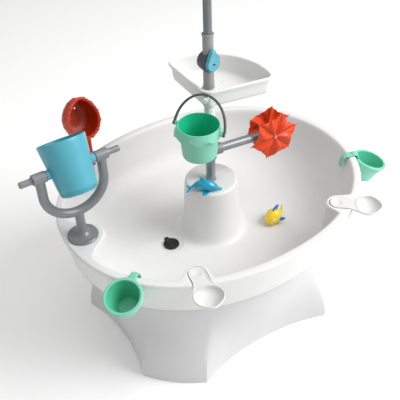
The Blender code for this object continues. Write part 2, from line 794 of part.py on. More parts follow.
def build_rain_tray():
    top = TRAY_Z
    low = TRAY_Z - TRAY_DEPTH
    tray = loft("rain_tray", [
        tray_ring(0.0010, top), tray_ring(0.0, top - 0.0012), tray_ring(0.0, top - 0.0055),
        tray_ring(0.0040, top - 0.0056), tray_ring(0.0100, low + 0.0050), tray_ring(0.0130, low),
    ])
    cavity = loft("tray_cavity", [
        tray_ring(0.0060, top + 0.0100), tray_ring(0.0065, top - 0.0040), tray_ring(0.0125, low + 0.0070),
        tray_ring(0.0160, low + 0.0028),
    ])
    post = cylinder("tray_post", TRAY_POST_R, TRAY_DEPTH - 0.0040, 28, location=(0, 0, low + 0.0010))
    sleeve_low = MAST_TOP_Z + GAP
    sleeve = cylinder("tray_sleeve", TRAY_SLEEVE_R, low + 0.0010 - sleeve_low, 28,
                      location=(0, 0, sleeve_low))
    hook = cylinder("tray_hook", HOOK_R, HOOK_END, 16, location=(0, 0, HOOK_Z),
                    rotation=turn_to(polar(1.0, HOOK_ANGLE)))
    bore = cylinder("tray_bore", TRAY_SLEEVE_BORE_R, 0.2200, 28, location=(0, 0, sleeve_low - 0.0100))
    join(cut(tray, cavity), post, sleeve, hook)
    cut(tray, bore)
    middle = (TRAY_START + TRAY_END) / 2
    for row, (distance, count, spread) in enumerate(((0.085, 2, 0.40), (0.120, 3, 0.40), (0.155, 2, 0.80))):
        for k in range(count):
            spot = polar(distance, middle + spread * (k - (count - 1) / 2), low - 0.0050)
            cut(tray, cylinder(f"drip_hole_{row}_{k}", 0.0025, 0.0120, 6, location=spot))
    return part(tray, WHITE, 0.4)


def build_mast_sleeve():
    bore = POLE_R + GAP
    spigot_foot = TRAY_Z - TRAY_DEPTH + 0.0060
    sleeve = turned("mast_sleeve", [
        (0.0, POLE_FOOT_Z - 0.0010), (bore, POLE_FOOT_Z - 0.0010), (bore, SLEEVE_TOP_Z),
        (0.0162, SLEEVE_TOP_Z), (0.0168, SLEEVE_TOP_Z - 0.0010), (0.0168, SLEEVE_TOP_Z - 0.0060),
        (SLEEVE_R, SLEEVE_TOP_Z - 0.0070), (SLEEVE_R, SLEEVE_FOOT_Z), (SPIGOT_R, SLEEVE_FOOT_Z),
        (SPIGOT_R, spigot_foot), (0.0, spigot_foot),
    ], 24, closed=False)
    return part(sleeve, GREY, 0.4)


def build_mast_upper():
    pole = turned("mast_upper", [
        (POLE_R, POLE_TOP_Z), (POLE_R, POLE_FOOT_Z), (POLE_BORE_R, POLE_FOOT_Z), (POLE_BORE_R, POLE_TOP_Z),
    ], 24)
    return part(pole, DARK_GREY, 0.4)


def build_clamp():
    toward = Vector((0, -1, 0))
    depth = CLAMP_BACK_Y - CLAMP_FRONT_Y
    housing = cylinder("clamp_housing", CLAMP_R, depth, 32, location=(0, CLAMP_BACK_Y, CLAMP_Z),
                       rotation=turn_to(toward))
    bevel = housing.modifiers.new("edges", "BEVEL")
    bevel.width = 0.0025
    bevel.segments = 2
    bevel.limit_method = "ANGLE"
    bevel.angle_limit = math.radians(60)
    sleeve_bore = cylinder("clamp_sleeve_bore", SLEEVE_R + GAP, 0.1000, 28,
                           location=(0, 0, CLAMP_Z - 0.0500))
    screw_bore = cylinder("clamp_screw_bore", 0.0024, 0.0200, 12,
                          location=(0, CLAMP_FRONT_Y + 0.0009, CLAMP_Z), rotation=turn_to(toward))
    part(cut(housing, sleeve_bore, screw_bore), CHARCOAL, 0.45)

    knob = build_clamp_knob()
    screw_hole = cylinder("knob_hole", 0.0027, 0.0400, 12, location=(0, CLAMP_FRONT_Y + 0.0050, CLAMP_Z),
                          rotation=turn_to(toward))
    part(cut(knob, screw_hole), SKY, 0.4)

    front = KNOB_THICKNESS + GAP
    screw = turned("clamp_screw", [
        (0.0, front + 0.0024), (0.0030, front + 0.0020), (0.0044, front + 0.0008), (0.0044, front + GAP),
        (0.0021, front + GAP), (0.0021, -0.0004), (0.0, -0.0004),
    ], 16, closed=False, location=(0, CLAMP_FRONT_Y - GAP, CLAMP_Z), rotation=turn_to(toward))
    part(screw, BLACK, 0.4)


def teardrop_outline():
    """A round end about the origin, drawn up to a small round tip on +Y."""
    lean = math.asin((KNOB_R - KNOB_TIP_R) / KNOB_TIP_RISE)
    lower = arc((0, 0), KNOB_R, math.pi - lean, math.tau + lean, 18)
    upper = arc((0, KNOB_TIP_RISE), KNOB_TIP_R, lean, math.pi - lean, 6)
    return lower + upper


def build_clamp_knob():
    stand_up = Matrix(((1, 0, 0), (0, 0, -1), (0, 1, 0))).to_quaternion()
    knob = prism("clamp_knob", teardrop_outline(), GAP, GAP + KNOB_THICKNESS,
                 location=(0, CLAMP_FRONT_Y, CLAMP_Z), rotation=stand_up)
    bevel = knob.modifiers.new("edges", "BEVEL")
    bevel.width = 0.0025
    bevel.segments = 2
    bevel.limit_method = "ANGLE"
    bevel.angle_limit = math.radians(60)
    return knob


# ------------------------------------------------------------------ yoke and tipping bucket

def build_yoke():
    foot_z = RIM_TOP_Z + GAP
    stem_top = YOKE_BEND_Z - YOKE_HALF_SPAN
    spot = Vector((YOKE_X, YOKE_Y, 0.0))
    yoke = turned("yoke", [
        (0.0, stem_top), (YOKE_TUBE_R, stem_top), (YOKE_TUBE_R, foot_z + 0.0300), (0.0160, foot_z + 0.0170),
        (0.0240, foot_z + 0.0100), (0.0370, foot_z + 0.0060), (0.0440, foot_z + 0.0030), (0.0450, foot_z),
        (0.0, foot_z),
    ], 20, closed=False, location=spot)
    bend = arc((0, YOKE_BEND_Z), YOKE_HALF_SPAN, math.pi, math.tau, 12)
    path = [(x, 0, z) for x, z in bend]
    path = [(-YOKE_HALF_SPAN, 0, TIP_AXIS_Z)] + path + [(YOKE_HALF_SPAN, 0, TIP_AXIS_Z)]
    fork = tube("yoke_fork", path, YOKE_TUBE_R, 2, location=spot)
    join(yoke, fork)
    for sign in (-1, 1):
        way = Vector((sign, 0, 0))
        boss = cylinder(f"yoke_boss_{sign}", BOSS_R, BOSS_OUTER - BOSS_INNER, 20,
                        location=spot + way * BOSS_INNER + Vector((0, 0, TIP_AXIS_Z)), rotation=turn_to(way))
        join(yoke, boss)
    bore = cylinder("yoke_spindle_bore", SPINDLE_R + GAP, 0.3000, 16,
                    location=spot + Vector((-0.1500, 0, TIP_AXIS_Z)), rotation=turn_to((1, 0, 0)))
    screw_bore = cylinder("yoke_screw_bore", 0.0033, 0.0300, 12,
                          location=spot + Vector((0, 0, foot_z - 0.0100)))
    return part(cut(yoke, bore, screw_bore), GREY, 0.35)


def build_yoke_screw():
    head_z = SEAT_FOOT_Z - GAP - 0.0040
    screw = turned("yoke_screw", screw_profile(0.0070, 0.0040, 0.0030, 0.0610), 16, closed=False,
                   location=(YOKE_X, YOKE_Y, head_z))
    return part(screw, STEEL, 0.3, 0.9)


def build_tipping_bucket():
    half = TIP_BUCKET_HALF_HEIGHT
    foot = TIP_BUCKET_FOOT_R
    wall = TIP_BUCKET_WALL
    tilt = Matrix.Rotation(TIP_BUCKET_TILT, 3, "X").to_quaternion()
    pivot = new_empty("tipping_axis", (YOKE_X, YOKE_Y, TIP_AXIS_Z), tilt, TABLE)
    bucket = turned("tipping_bucket", [
        (0.0, half), (TIP_BUCKET_R - 0.0006, half), (TIP_BUCKET_R, half - 0.0010),
        (TIP_BUCKET_R, half - 0.0065),
        (TIP_BUCKET_R - 0.0022, half - 0.0085), (foot + 0.0022, -half + 0.0140),
        (foot - 0.0010, -half + 0.0040),
        (foot - 0.0080, -half), (0.0, -half),
    ], 28, closed=False, parent=pivot)
    for sign in (-1, 1):
        way = Vector((sign, 0, 0))
        hub = cylinder(f"bucket_hub_{sign}", 0.0135, BOSS_INNER - GAP - 0.0400, 18, location=way * 0.0400,
                       rotation=turn_to(way), parent=pivot)
        stub = cylinder(f"bucket_stub_{sign}", SPINDLE_R, KNOB_PEG_START - 0.0008 - 0.0450, 14,
                        location=way * 0.0450, rotation=turn_to(way), parent=pivot)
        join(bucket, hub, stub)
    cavity = turned("bucket_cavity", [
        (0.0, half + 0.0100), (TIP_BUCKET_R - wall + 0.0004, half + 0.0100),
        (TIP_BUCKET_R - wall, half - 0.0085),
        (foot + 0.0022 - wall, -half + 0.0140), (foot - 0.0085, -half + wall), (0.0, -half + wall),
    ], 28, closed=False, parent=pivot)
    cut(bucket, cavity)
    part(bucket, SKY, 0.35)
    for name, sign in (("pivot_knob_left", -1), ("pivot_knob_right", 1)):
        start = KNOB_PEG_START
        flange = BOSS_OUTER + GAP
        end = KNOB_PEG_END
        knob = turned(name, [
            (0.0, end), (KNOB_PEG_R - 0.0035, end - 0.0005), (KNOB_PEG_R - 0.0010, end - 0.0030),
            (KNOB_PEG_R, end - 0.0060), (KNOB_PEG_R, flange + 0.0030), (0.0105, flange + 0.0022),
            (0.0105, flange), (SPINDLE_R, flange), (SPINDLE_R, start), (0.0, start),
        ], 20, closed=False, rotation=turn_to((sign, 0, 0)), parent=pivot)
        part(knob, GREY, 0.35)


# ------------------------------------------------------------------ hanging bucket

def bail_way():
    return polar(1.0, BAIL_ANGLE)


def build_hanging_bucket():
    rim = BUCKET_RIM_Z - BAIL_PIVOT_Z
    foot = BUCKET_FOOT_Z - BAIL_PIVOT_Z
    pivot = new_empty("bucket_axis", (*BUCKET_XY, BAIL_PIVOT_Z), about_z(BAIL_ANGLE), TABLE)
    bucket = turned("hanging_bucket", [
        (0.0, foot + 0.0025), (BUCKET_FOOT_R - 0.0045, foot + 0.0025),
        (BUCKET_FOOT_R + 0.0002, foot + 0.0095),
        (0.0520, rim - 0.0300), (BUCKET_MOUTH_R - 0.0025, rim), (BUCKET_MOUTH_R + 0.0015, rim),
        (BUCKET_SKIRT_R, rim - 0.0240), (BUCKET_SKIRT_R - 0.0022, rim - 0.0245), (0.0560, rim - 0.0080),
        (0.0545, rim - 0.0300), (BUCKET_FOOT_R + 0.0030, foot + 0.0090), (BUCKET_FOOT_R - 0.0030, foot),
        (0.0, foot),
    ], 24, closed=False, parent=pivot)
    for sign in (-1, 1):
        way = Vector((sign, 0, 0))
        ear = cylinder(f"bucket_ear_{sign}", 0.0060, 0.0740 - 0.0535, 14, location=way * 0.0535,
                       rotation=turn_to(way), parent=pivot)
        pin = cylinder(f"bucket_pin_{sign}", 0.0028, 0.0812 - 0.0600, 12, location=way * 0.0600,
                       rotation=turn_to(way), parent=pivot)
        head = cylinder(f"bucket_pin_head_{sign}", 0.0046, 0.0015, 12, end_radius=0.0036,
                        location=way * 0.0808,
                        rotation=turn_to(way), parent=pivot)
        join(bucket, ear, pin, head)
    spout = tube("bucket_spout", spout_path(rim), 0.0036, 2, parent=pivot)
    return part(join(bucket, spout), MINT, 0.4)


def spout_path(rim):
    """The pouring lip's bulge on the skirt, on the side away from the mast."""
    start = SPOUT_ANGLE - math.radians(20.0)
    end = SPOUT_ANGLE + math.radians(20.0)
    steps = 6
    path = []
    for k in range(steps + 1):
        share = k / steps
        bulge = 0.0050 * math.sin(math.pi * share)
        path.append(polar(BUCKET_SKIRT_R - 0.0030 + bulge, start + (end - start) * share, rim - 0.0180))
    return path


def build_bucket_bail():
    """A flat strap bent over in a half ellipse that leans towards the hook."""
    lean = math.atan2(BAIL_LEAN, BAIL_RISE)
    height = math.hypot(BAIL_LEAN, BAIL_RISE)
    inner = BAIL_HALF_SPAN - BAIL_THICKNESS / 2
    outer = BAIL_HALF_SPAN + BAIL_THICKNESS / 2
    steps = 16
    outline = []
    for half_span, rise, order in ((outer, height + BAIL_THICKNESS / 2, 1),
                                   (inner, height - BAIL_THICKNESS / 2, -1)):
        for k in range(steps + 1)[::order]:
            angle = math.pi * k / steps
            outline.append((half_span * math.cos(angle), rise * math.sin(angle)))
    upright = Matrix(((1, 0, 0), (0, 0, -1), (0, 1, 0)))
    leaning = Matrix.Rotation(BAIL_ANGLE, 3, "Z") @ Matrix.Rotation(-lean, 3, "X") @ upright
    pivot = new_empty("bail_axis", (*BUCKET_XY, BAIL_PIVOT_Z), leaning.to_quaternion(), TABLE)
    bail = prism("bucket_bail", outline, -BAIL_WIDTH / 2, BAIL_WIDTH / 2, parent=pivot)
    for sign in (-1, 1):
        way = Vector((sign, 0, 0))
        eye = cylinder(f"bail_eye_{sign}", 0.0062, BAIL_THICKNESS, 16, location=way * inner,
                       rotation=turn_to(way), parent=pivot)
        join(bail, eye)
    hole = cylinder("bail_hole", 0.0031, 0.2000, 12, location=(-0.1000, 0, 0), rotation=turn_to((1, 0, 0)),
                    parent=pivot)
    return part(cut(bail, hole), CHARCOAL, 0.5)


# ------------------------------------------------------------------ cups

def build_cup(name):
    """A tapered cup that leans outward beside the rim, hooked on it by its strap handle."""
    place_deg, reach, mouth_z, tilt_deg = CUPS[name]
    place = math.radians(place_deg)
    normal = rim_normal(place)
    rim_point = polar(rim_radius(place), place)
    heading = about_z(math.atan2(normal.y, normal.x))
    lean = Matrix.Rotation(math.radians(tilt_deg), 3, "Y").to_quaternion()
    hang = new_empty(name + "_frame", rim_point + Vector((0, 0, RIM_TOP_Z)), heading, TABLE)
    mouth = new_empty(name + "_mouth", (reach, 0, mouth_z - RIM_TOP_Z), lean, hang)
    r = CUP_MOUTH_R
    cup = turned(name, [
        (0.0, -CUP_DEPTH + 0.0025), (CUP_FOOT_R - 0.0015, -CUP_DEPTH + 0.0030), (r - 0.0125, -0.0170),
        (r - 0.0065, 0.0), (r - 0.0022, 0.0), (r, -0.0022), (r, -0.0065),
        (r - 0.0045, -0.0085), (r - 0.0060, -0.0160), (r - 0.0100, -0.0175),
        (CUP_FOOT_R + 0.0020, -CUP_DEPTH + 0.0030), (CUP_FOOT_R - 0.0010, -CUP_DEPTH), (0.0, -CUP_DEPTH),
    ], 20, closed=False, parent=mouth)
    tilt = math.radians(tilt_deg)
    edge_x = reach - (r - 0.0050) * math.cos(tilt)
    edge_z = mouth_z - RIM_TOP_Z + (r - 0.0050) * math.sin(tilt) - 0.0030
    path = [
        (edge_x + 0.0020, edge_z - 0.0010), (0.0052, max(edge_z - 0.0030, 0.0010)), (-0.0030, 0.0062),
        (-0.0120, 0.0030), (-0.0250, 0.0030), (-0.0350, -0.0010), (-0.0405, -0.0090), (-0.0440, -0.0200),
        (-0.0475, -0.0360),
    ]
    handle = strap(name + "_handle", path, STRAP_WIDTH, STRAP_THICKNESS, hang)
    inside = cylinder(name + "_inside", r - 0.0072, 0.0150, 32, location=(0, 0, -0.0120), parent=mouth)
    cut(handle, inside)
    return part(join(cup, handle), MINT, 0.4)


def strap(name, path, width, thickness, parent):
    """A flat strap with rounded corners, swept along a path in its parent's XZ plane."""
    rings = []
    points = [Vector((x, z)) for x, z in path]
    for k, point in enumerate(points):
        before = points[max(k - 1, 0)]
        after = points[min(k + 1, len(points) - 1)]
        along = (after - before).normalized()
        across = Vector((-along.y, along.x))
        ring = []
        for side, face in ((-1, -0.5), (-0.8, -1), (0.8, -1), (1, -0.5), (1, 0.5), (0.8, 1), (-0.8, 1),
                           (-1, 0.5)):
            spot = point + across * face * thickness / 2
            ring.append(Vector((spot.x, side * width / 2, spot.y)))
        rings.append(ring)
    return loft(name, rings, parent=parent)


# ------------------------------------------------------------------ strainer scoop

def scoop_frame():
    """In-plane side, in-plane up and the way that the scoop's mouth faces."""
    side = Vector((math.cos(SCOOP_FACE_YAW), math.sin(SCOOP_FACE_YAW), 0.0))
    side = (side - SCOOP_UP * side.dot(SCOOP_UP)).normalized()
    face = side.cross(SCOOP_UP).normalized()
    return side, face


def scoop_half_width(share):
    """Half width of the ring's teardrop at a share of the way from tail to top."""
    start = SCOOP_RING_START
    if share < start:
        return 0.0080
    t = (share - start) / (1 - start)
    return 0.0080 * (1 - t) + (SCOOP_HALF_WIDTH - 0.0040) * math.sin(math.pi * t ** 0.92) ** 0.55


def build_scoop():
    side, face = scoop_frame()
    axes = Matrix((side, SCOOP_UP, face)).transposed()
    hang = new_empty("scoop_frame", SCOOP_TAIL, axes.to_quaternion(), TABLE)
    start = SCOOP_RING_START
    steps = 10
    rows = [start + (1 - start) * (0.5 - 0.5 * math.cos(math.pi * k / steps)) for k in range(1, steps)]
    right = [(scoop_half_width(s), SCOOP_LENGTH * s) for s in rows]
    left = [(-x, y) for x, y in reversed(right)]
    outline = [(0.0, SCOOP_LENGTH * start)] + right + [(0.0, SCOOP_LENGTH)] + left
    centre = Vector((0.0, SCOOP_LENGTH * 0.70))

    def ring(shrink, depth):
        return [Vector((centre.x + (x - centre.x) * shrink, centre.y + (y - centre.y) * shrink, depth))
                for x, y in outline]

    wall = 0.0022
    deep = SCOOP_DEPTH
    back_point = [Vector((centre.x, centre.y, -deep))]
    inner_point = [Vector((centre.x, centre.y, -deep + wall))]
    scoop = loft("scoop", [
        ring(1.0, 0.0030), ring(1.03, 0.0), ring(1.0, -0.0035), ring(1.02, -deep * 0.45),
        ring(0.84, -deep * 0.86),
        ring(0.52, -deep), back_point, inner_point, ring(0.49, -deep + wall),
        ring(0.80, -deep * 0.86 + wall),
        ring(0.975, -deep * 0.45), ring(0.93, -0.0020), ring(0.94, 0.0028),
    ], wrap=True, parent=hang)
    tail = tube("scoop_tail", [(0, -0.0140, -0.0010), (0, 0.0, 0.0), (0, 0.0300, 0.0), (0, 0.0795, 0.0)],
                0.0062, 3,
                parent=hang)
    join(scoop, tail)
    for k in range(5):
        angle = math.pi * (0.35 + 0.8 * k / 4)
        spot = Vector((centre.x + 0.028 * math.cos(angle), centre.y + 0.028 * math.sin(angle), -0.0950))
        cut(scoop, cylinder(f"strainer_hole_{k}", 0.0026, 0.0500, 8, location=spot, parent=hang))
    return part(scoop, RED, 0.4)


# ------------------------------------------------------------------ spoon launchers

def launcher_pin_centre(key):
    spot, heading = launcher_frame(key)
    return spot + heading @ Vector((LAUNCHER_PIN, 0, 0)) + Vector((0, 0, LAUNCHER_PIN_Z))


def bowl_outline(scale):
    """An egg about the bowl's centre, drawn out to a pouring tip on +X."""
    points = []
    steps = 20
    for k in range(steps):
        angle = math.tau * k / steps
        length = LAUNCHER_BOWL_HALF_LENGTH
        if math.cos(angle) > 0:
            length += (LAUNCHER_TIP - LAUNCHER_BOWL - LAUNCHER_BOWL_HALF_LENGTH) * math.cos(angle) ** 6
        points.append((length * scale * math.cos(angle), LAUNCHER_BOWL_HALF_WIDTH * scale * math.sin(angle)))
    return points


def build_launcher(key):
    name = "launcher_" + key
    spot, heading = launcher_frame(key)
    pivot = new_empty(name + "_axis", launcher_pin_centre(key), heading, TABLE)
    top = RIM_TOP_Z - LAUNCHER_PIN_Z
    plate = prism(name, capsule_outline(LAUNCHER_HANDLE_R, LAUNCHER_BOWL - 0.0200, 10), top - 0.0065, top,
                  location=(-LAUNCHER_PIN, 0, 0), parent=pivot)
    centre = Vector((LAUNCHER_BOWL - LAUNCHER_PIN, 0, 0))

    def ring(scale, z):
        return [centre + Vector((x, y, z)) for x, y in bowl_outline(scale)]

    bowl = loft(name + "_bowl", [
        ring(0.99, top), ring(1.0, top - 0.0030), ring(0.94, top - 0.0080), ring(0.74, top - 0.0170),
        ring(0.40, top - 0.0220), [centre + Vector((0, 0, top - 0.0228))],
    ], parent=pivot)
    hollow = loft(name + "_hollow", [
        ring(0.93, top + 0.0050), ring(0.93, top - 0.0020), ring(0.86, top - 0.0080),
        ring(0.68, top - 0.0146),
        ring(0.36, top - 0.0194), [centre + Vector((0, 0, top - 0.0200))],
    ], parent=pivot)
    boss = prism(name + "_boss", [(-0.0070, -0.0190), (0.0070, -0.0190), (0.0070, 0.0190),
                                  (-0.0070, 0.0190)],
                 -0.0060, top - 0.0040, parent=pivot)
    dimple = mesh_object(name + "_dimple", dimple_ball(), location=(-LAUNCHER_PIN, 0, top + 0.0400),
                         parent=pivot)
    bore = cylinder(name + "_bore", AXLE_R + GAP, 0.0600, 12, location=(0, -0.0300, 0),
                    rotation=turn_to((0, 1, 0)), parent=pivot)
    join(plate, bowl, boss)
    cut(plate, hollow, dimple, bore)
    part(plate, WHITE, 0.38)
    pin = cylinder("launcher_pin_" + key, AXLE_R, 0.0660, 12, location=(0, -0.0330, 0),
                   rotation=turn_to((0, 1, 0)), parent=pivot)
    part(pin, STEEL, 0.3, 0.9)


def dimple_ball():
    bm = bmesh.new()
    bmesh.ops.create_uvsphere(bm, u_segments=16, v_segments=12, radius=0.0430)
    return bm


# ------------------------------------------------------------------ bath toys

def spindle_rings(stations, sides):
    """Oval rings along X: each station is (x, height of centre, half width, half height)."""
    rings = []
    for x, z, half_width, half_height in stations:
        ring = []
        for k in range(sides):
            angle = math.tau * k / sides
            ring.append(Vector((x, half_width * math.cos(angle), z + half_height * math.sin(angle))))
        rings.append(ring)
    return rings


def build_dolphin():
    stand = new_empty("dolphin_frame", (*DOLPHIN_XY, PEDESTAL_TOP_Z + GAP), about_z(DOLPHIN_ANGLE), TABLE)
    stations = [
        (-0.0430, 0.0075, 0.0035, 0.0035), (-0.0340, 0.0150, 0.0055, 0.0060),
        (-0.0200, 0.0205, 0.0105, 0.0115),
        (-0.0030, 0.0215, 0.0150, 0.0150), (0.0150, 0.0185, 0.0160, 0.0155),
        (0.0290, 0.0140, 0.0135, 0.0125),
        (0.0380, 0.0090, 0.0095, 0.0080), (0.0440, 0.0060, 0.0055, 0.0048), (0.0520, 0.0045, 0.0036, 0.0032),
    ]
    rings = [[Vector((-0.0470, 0, 0.0050))]] + spindle_rings(stations, 12) + [[Vector((0.0545, 0, 0.0042))]]
    body = loft("dolphin", rings, parent=stand)
    upright = Matrix.Rotation(math.pi / 2, 3, "X").to_quaternion()
    fin = prism("dolphin_fin", [(-0.0080, 0.0300), (0.0120, 0.0300), (-0.0040, 0.0460), (-0.0150, 0.0540)],
                -0.0016, 0.0016, rotation=upright, parent=stand)
    fluke = prism("dolphin_fluke", [(-0.0400, 0.0), (-0.0460, 0.0200), (-0.0560, 0.0240), (-0.0500, 0.0),
                                    (-0.0560, -0.0240), (-0.0460, -0.0200)], 0.0040, 0.0072, parent=stand)
    flippers = prism("dolphin_flippers", [(0.0180, 0.0), (0.0120, 0.0220), (-0.0060, 0.0280), (0.0040, 0.0),
                                          (-0.0060, -0.0280), (0.0120, -0.0220)], 0.0004, 0.0034,
                                          parent=stand)
    keel = prism("dolphin_keel", [(-0.0080, -0.0085), (0.0300, -0.0070), (0.0300, 0.0070),
                                  (-0.0080, 0.0085)],
                 0.0, 0.0100, parent=stand)
    return part(join(body, fin, fluke, flippers, keel), OCEAN, 0.3)


def build_fish():
    stand = new_empty("fish_frame", (*FISH_XY, FLOOR_Z + 0.0008 + GAP), about_z(FISH_ANGLE), TABLE)
    stations = [
        (-0.0308, 0.0210, 0.0070, 0.0084), (-0.0182, 0.0231, 0.0154, 0.0175), (0.0, 0.0252, 0.0231, 0.0249),
        (0.0168, 0.0231, 0.0210, 0.0217), (0.0294, 0.0196, 0.0140, 0.0140),
    ]
    rings = [[Vector((-0.0350, 0, 0.0210))]] + spindle_rings(stations, 12) + [[Vector((0.0357, 0, 0.0175))]]
    body = loft("fish_body", rings, parent=stand)
    upright = Matrix.Rotation(math.pi / 2, 3, "X").to_quaternion()
    tail = prism("fish_tail", [(-0.0280, 0.0168), (-0.0280, 0.0252), (-0.0448, 0.0448), (-0.0406, 0.0224),
                               (-0.0462, 0.0028)], -0.0028, 0.0028, rotation=upright, parent=stand)
    foot = prism("fish_foot", [(-0.0140, -0.0098), (0.0140, -0.0098), (0.0140, 0.0098), (-0.0140, 0.0098)],
                 0.0, 0.0140, parent=stand)
    part(join(body, tail, foot), YELLOW, 0.35)

    clear_rings = [[point * 1.03 - Vector((0, 0, 0.0005)) for point in ring] for ring in rings]
    clear = loft("fish_clearance", clear_rings, parent=stand)
    crest = prism("fish_fin_top", [(-0.0168, 0.0336), (0.0112, 0.0392), (-0.0028, 0.0616),
                                   (-0.0196, 0.0588)],
                  -0.0025, 0.0025, rotation=upright, parent=stand)
    part(cut(crest, clear), FIN_BLUE, 0.35)
    for side, sign in (("left", 1), ("right", -1)):
        fin = prism(f"fish_fin_{side}", [(0.0084, sign * 0.0154), (-0.0084, sign * 0.0154),
                                         (-0.0210, sign * 0.0378), (-0.0028, sign * 0.0364)],
                    0.0168, 0.0210, parent=stand)
        part(cut(fin, clear), FIN_BLUE, 0.35)


# ------------------------------------------------------------------ assembly

def build_table():
    build_stand()
    build_basin()
    build_basin_screws()
    build_drain_plug()
    build_mast_lower()
    build_arm_tee()
    build_spinner_arm()
    build_arm_cap()
    build_spinner_axle()
    build_wheel("spinner_front", 1, math.radians(5.5))
    build_wheel("spinner_back", -1, math.radians(40.0))
    build_rain_tray()
    build_mast_sleeve()
    build_mast_upper()
    build_clamp()
    build_yoke()
    build_yoke_screw()
    build_tipping_bucket()
    build_hanging_bucket()
    build_bucket_bail()
    for name in CUPS:
        build_cup(name)
    build_scoop()
    for key in LAUNCHERS:
        build_launcher(key)
    build_dolphin()
    build_fish()
    bpy.context.view_layer.update()


build_table()
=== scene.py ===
import math

import bmesh
import bpy
import numpy as np
from mathutils import Matrix, Vector


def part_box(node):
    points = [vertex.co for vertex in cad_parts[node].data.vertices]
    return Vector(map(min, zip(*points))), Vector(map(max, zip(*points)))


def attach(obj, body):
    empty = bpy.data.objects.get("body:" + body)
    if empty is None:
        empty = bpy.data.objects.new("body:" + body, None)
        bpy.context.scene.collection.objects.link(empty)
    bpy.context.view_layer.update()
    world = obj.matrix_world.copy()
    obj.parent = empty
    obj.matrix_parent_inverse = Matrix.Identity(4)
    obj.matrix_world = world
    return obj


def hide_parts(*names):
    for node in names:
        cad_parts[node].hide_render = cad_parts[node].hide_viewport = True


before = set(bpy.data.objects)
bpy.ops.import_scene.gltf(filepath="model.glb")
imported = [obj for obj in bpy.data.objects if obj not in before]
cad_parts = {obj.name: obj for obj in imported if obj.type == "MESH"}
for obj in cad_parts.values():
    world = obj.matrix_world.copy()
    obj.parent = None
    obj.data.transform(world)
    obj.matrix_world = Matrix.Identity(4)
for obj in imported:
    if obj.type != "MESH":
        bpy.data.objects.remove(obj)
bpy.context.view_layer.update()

TAU = math.tau

# The mast's axis: every piece below is drawn about it, Z up from the floor.
low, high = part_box("mast_lower")
MAST = Vector(((low.x + high.x) / 2, (low.y + high.y) / 2, 0.0))


# ------------------------------------------------------------------ small tools

def polar(radius, angle, z=0.0):
    return Vector((radius * math.cos(angle), radius * math.sin(angle), z))


def frame_at(origin, x_way=None, z_way=(0, 0, 1)):
    """A placing matrix with its Z along z_way and its X as near x_way as it can be."""
    z = Vector(z_way).normalized()
    x = Vector(x_way) if x_way is not None else (Vector((1, 0, 0)) if abs(z.x) < 0.9 else Vector((0, 1, 0)))
    x = (x - z * x.dot(z)).normalized()
    y = z.cross(x)
    matrix = Matrix((x, y, z)).transposed().to_4x4()
    matrix.translation = Vector(origin)
    return matrix


def soften(points, steps=5):
    """Round the corners of a line of (r, z, reach) points; reach is how far a corner's curve runs."""
    out = []
    for k, (r, z, *rest) in enumerate(points):
        reach = rest[0] if rest else 0.0
        here = np.array((r, z), float)
        if k in (0, len(points) - 1) or reach <= 0:
            out.append(here)
            continue
        before = np.array(points[k - 1][:2], float) - here
        after = np.array(points[k + 1][:2], float) - here
        len_a, len_b = np.linalg.norm(before), np.linalg.norm(after)
        run = min(reach, 0.5 * len_a, 0.5 * len_b)
        a, b = here + before / len_a * run, here + after / len_b * run
        for t in np.linspace(0, 1, steps + 1):
            out.append((1 - t) ** 2 * a + 2 * t * (1 - t) * here + t * t * b)
    return out


def skin(rings, wrap=False, cap=True):
    """Vertices and faces over rings of points. A ring of one point closes an end."""
    rings = [[tuple(p) for p in ring] for ring in rings]
    verts, starts, faces = [], [], []
    for ring in rings:
        starts.append(len(verts))
        verts += ring
    order = list(range(len(rings)))
    pairs = list(zip(order, order[1:])) + ([(order[-1], 0)] if wrap else [])
    for a, b in pairs:
        count = max(len(rings[a]), len(rings[b]))
        if count == 1:
            continue
        for k in range(count):
            loop = []
            for ring, index in ((a, k), (a, (k + 1) % count), (b, (k + 1) % count), (b, k)):
                vert = starts[ring] + (index if len(rings[ring]) > 1 else 0)
                if vert not in loop:
                    loop.append(vert)
            faces.append(loop)
    if cap and not wrap:
        for end in (0, len(rings) - 1):
            if len(rings[end]) > 1:
                faces.append([starts[end] + k for k in range(len(rings[end]))])
    return verts, faces


def turned(profile, count=72, steps=5):
    """A turned shape about Z from a line of (radius, z, corner reach) points."""
    rings = []
    for r, z in soften(profile, steps):
        rings.append([(0, 0, z)] if r < 1e-7 else [polar(r, TAU * k / count, z) for k in range(count)])
    return skin(rings)


def tube_shape(profile, count=72, steps=5):
    """As turned, but the profile is a closed loop that stays off the axis."""
    rings = [[polar(r, TAU * k / count, z) for k in range(count)] for r, z in soften(profile, steps)]
    return skin(rings, wrap=True)


def rod(radius, start, end, count=32, edge=0.0, end_radius=None):
    """A solid round bar from one point to another, its end edges rounded by edge."""
    start, end = Vector(start), Vector(end)
    length = (end - start).length
    tip = radius if end_radius is None else end_radius
    shape = turned([(0, 0), (radius, 0, edge), (tip, length, edge), (0, length)], count)
    return moved(shape, frame_at(start, z_way=end - start))


def moved(shape, matrix):
    return [tuple(matrix @ Vector(p)) for p in shape[0]], shape[1]


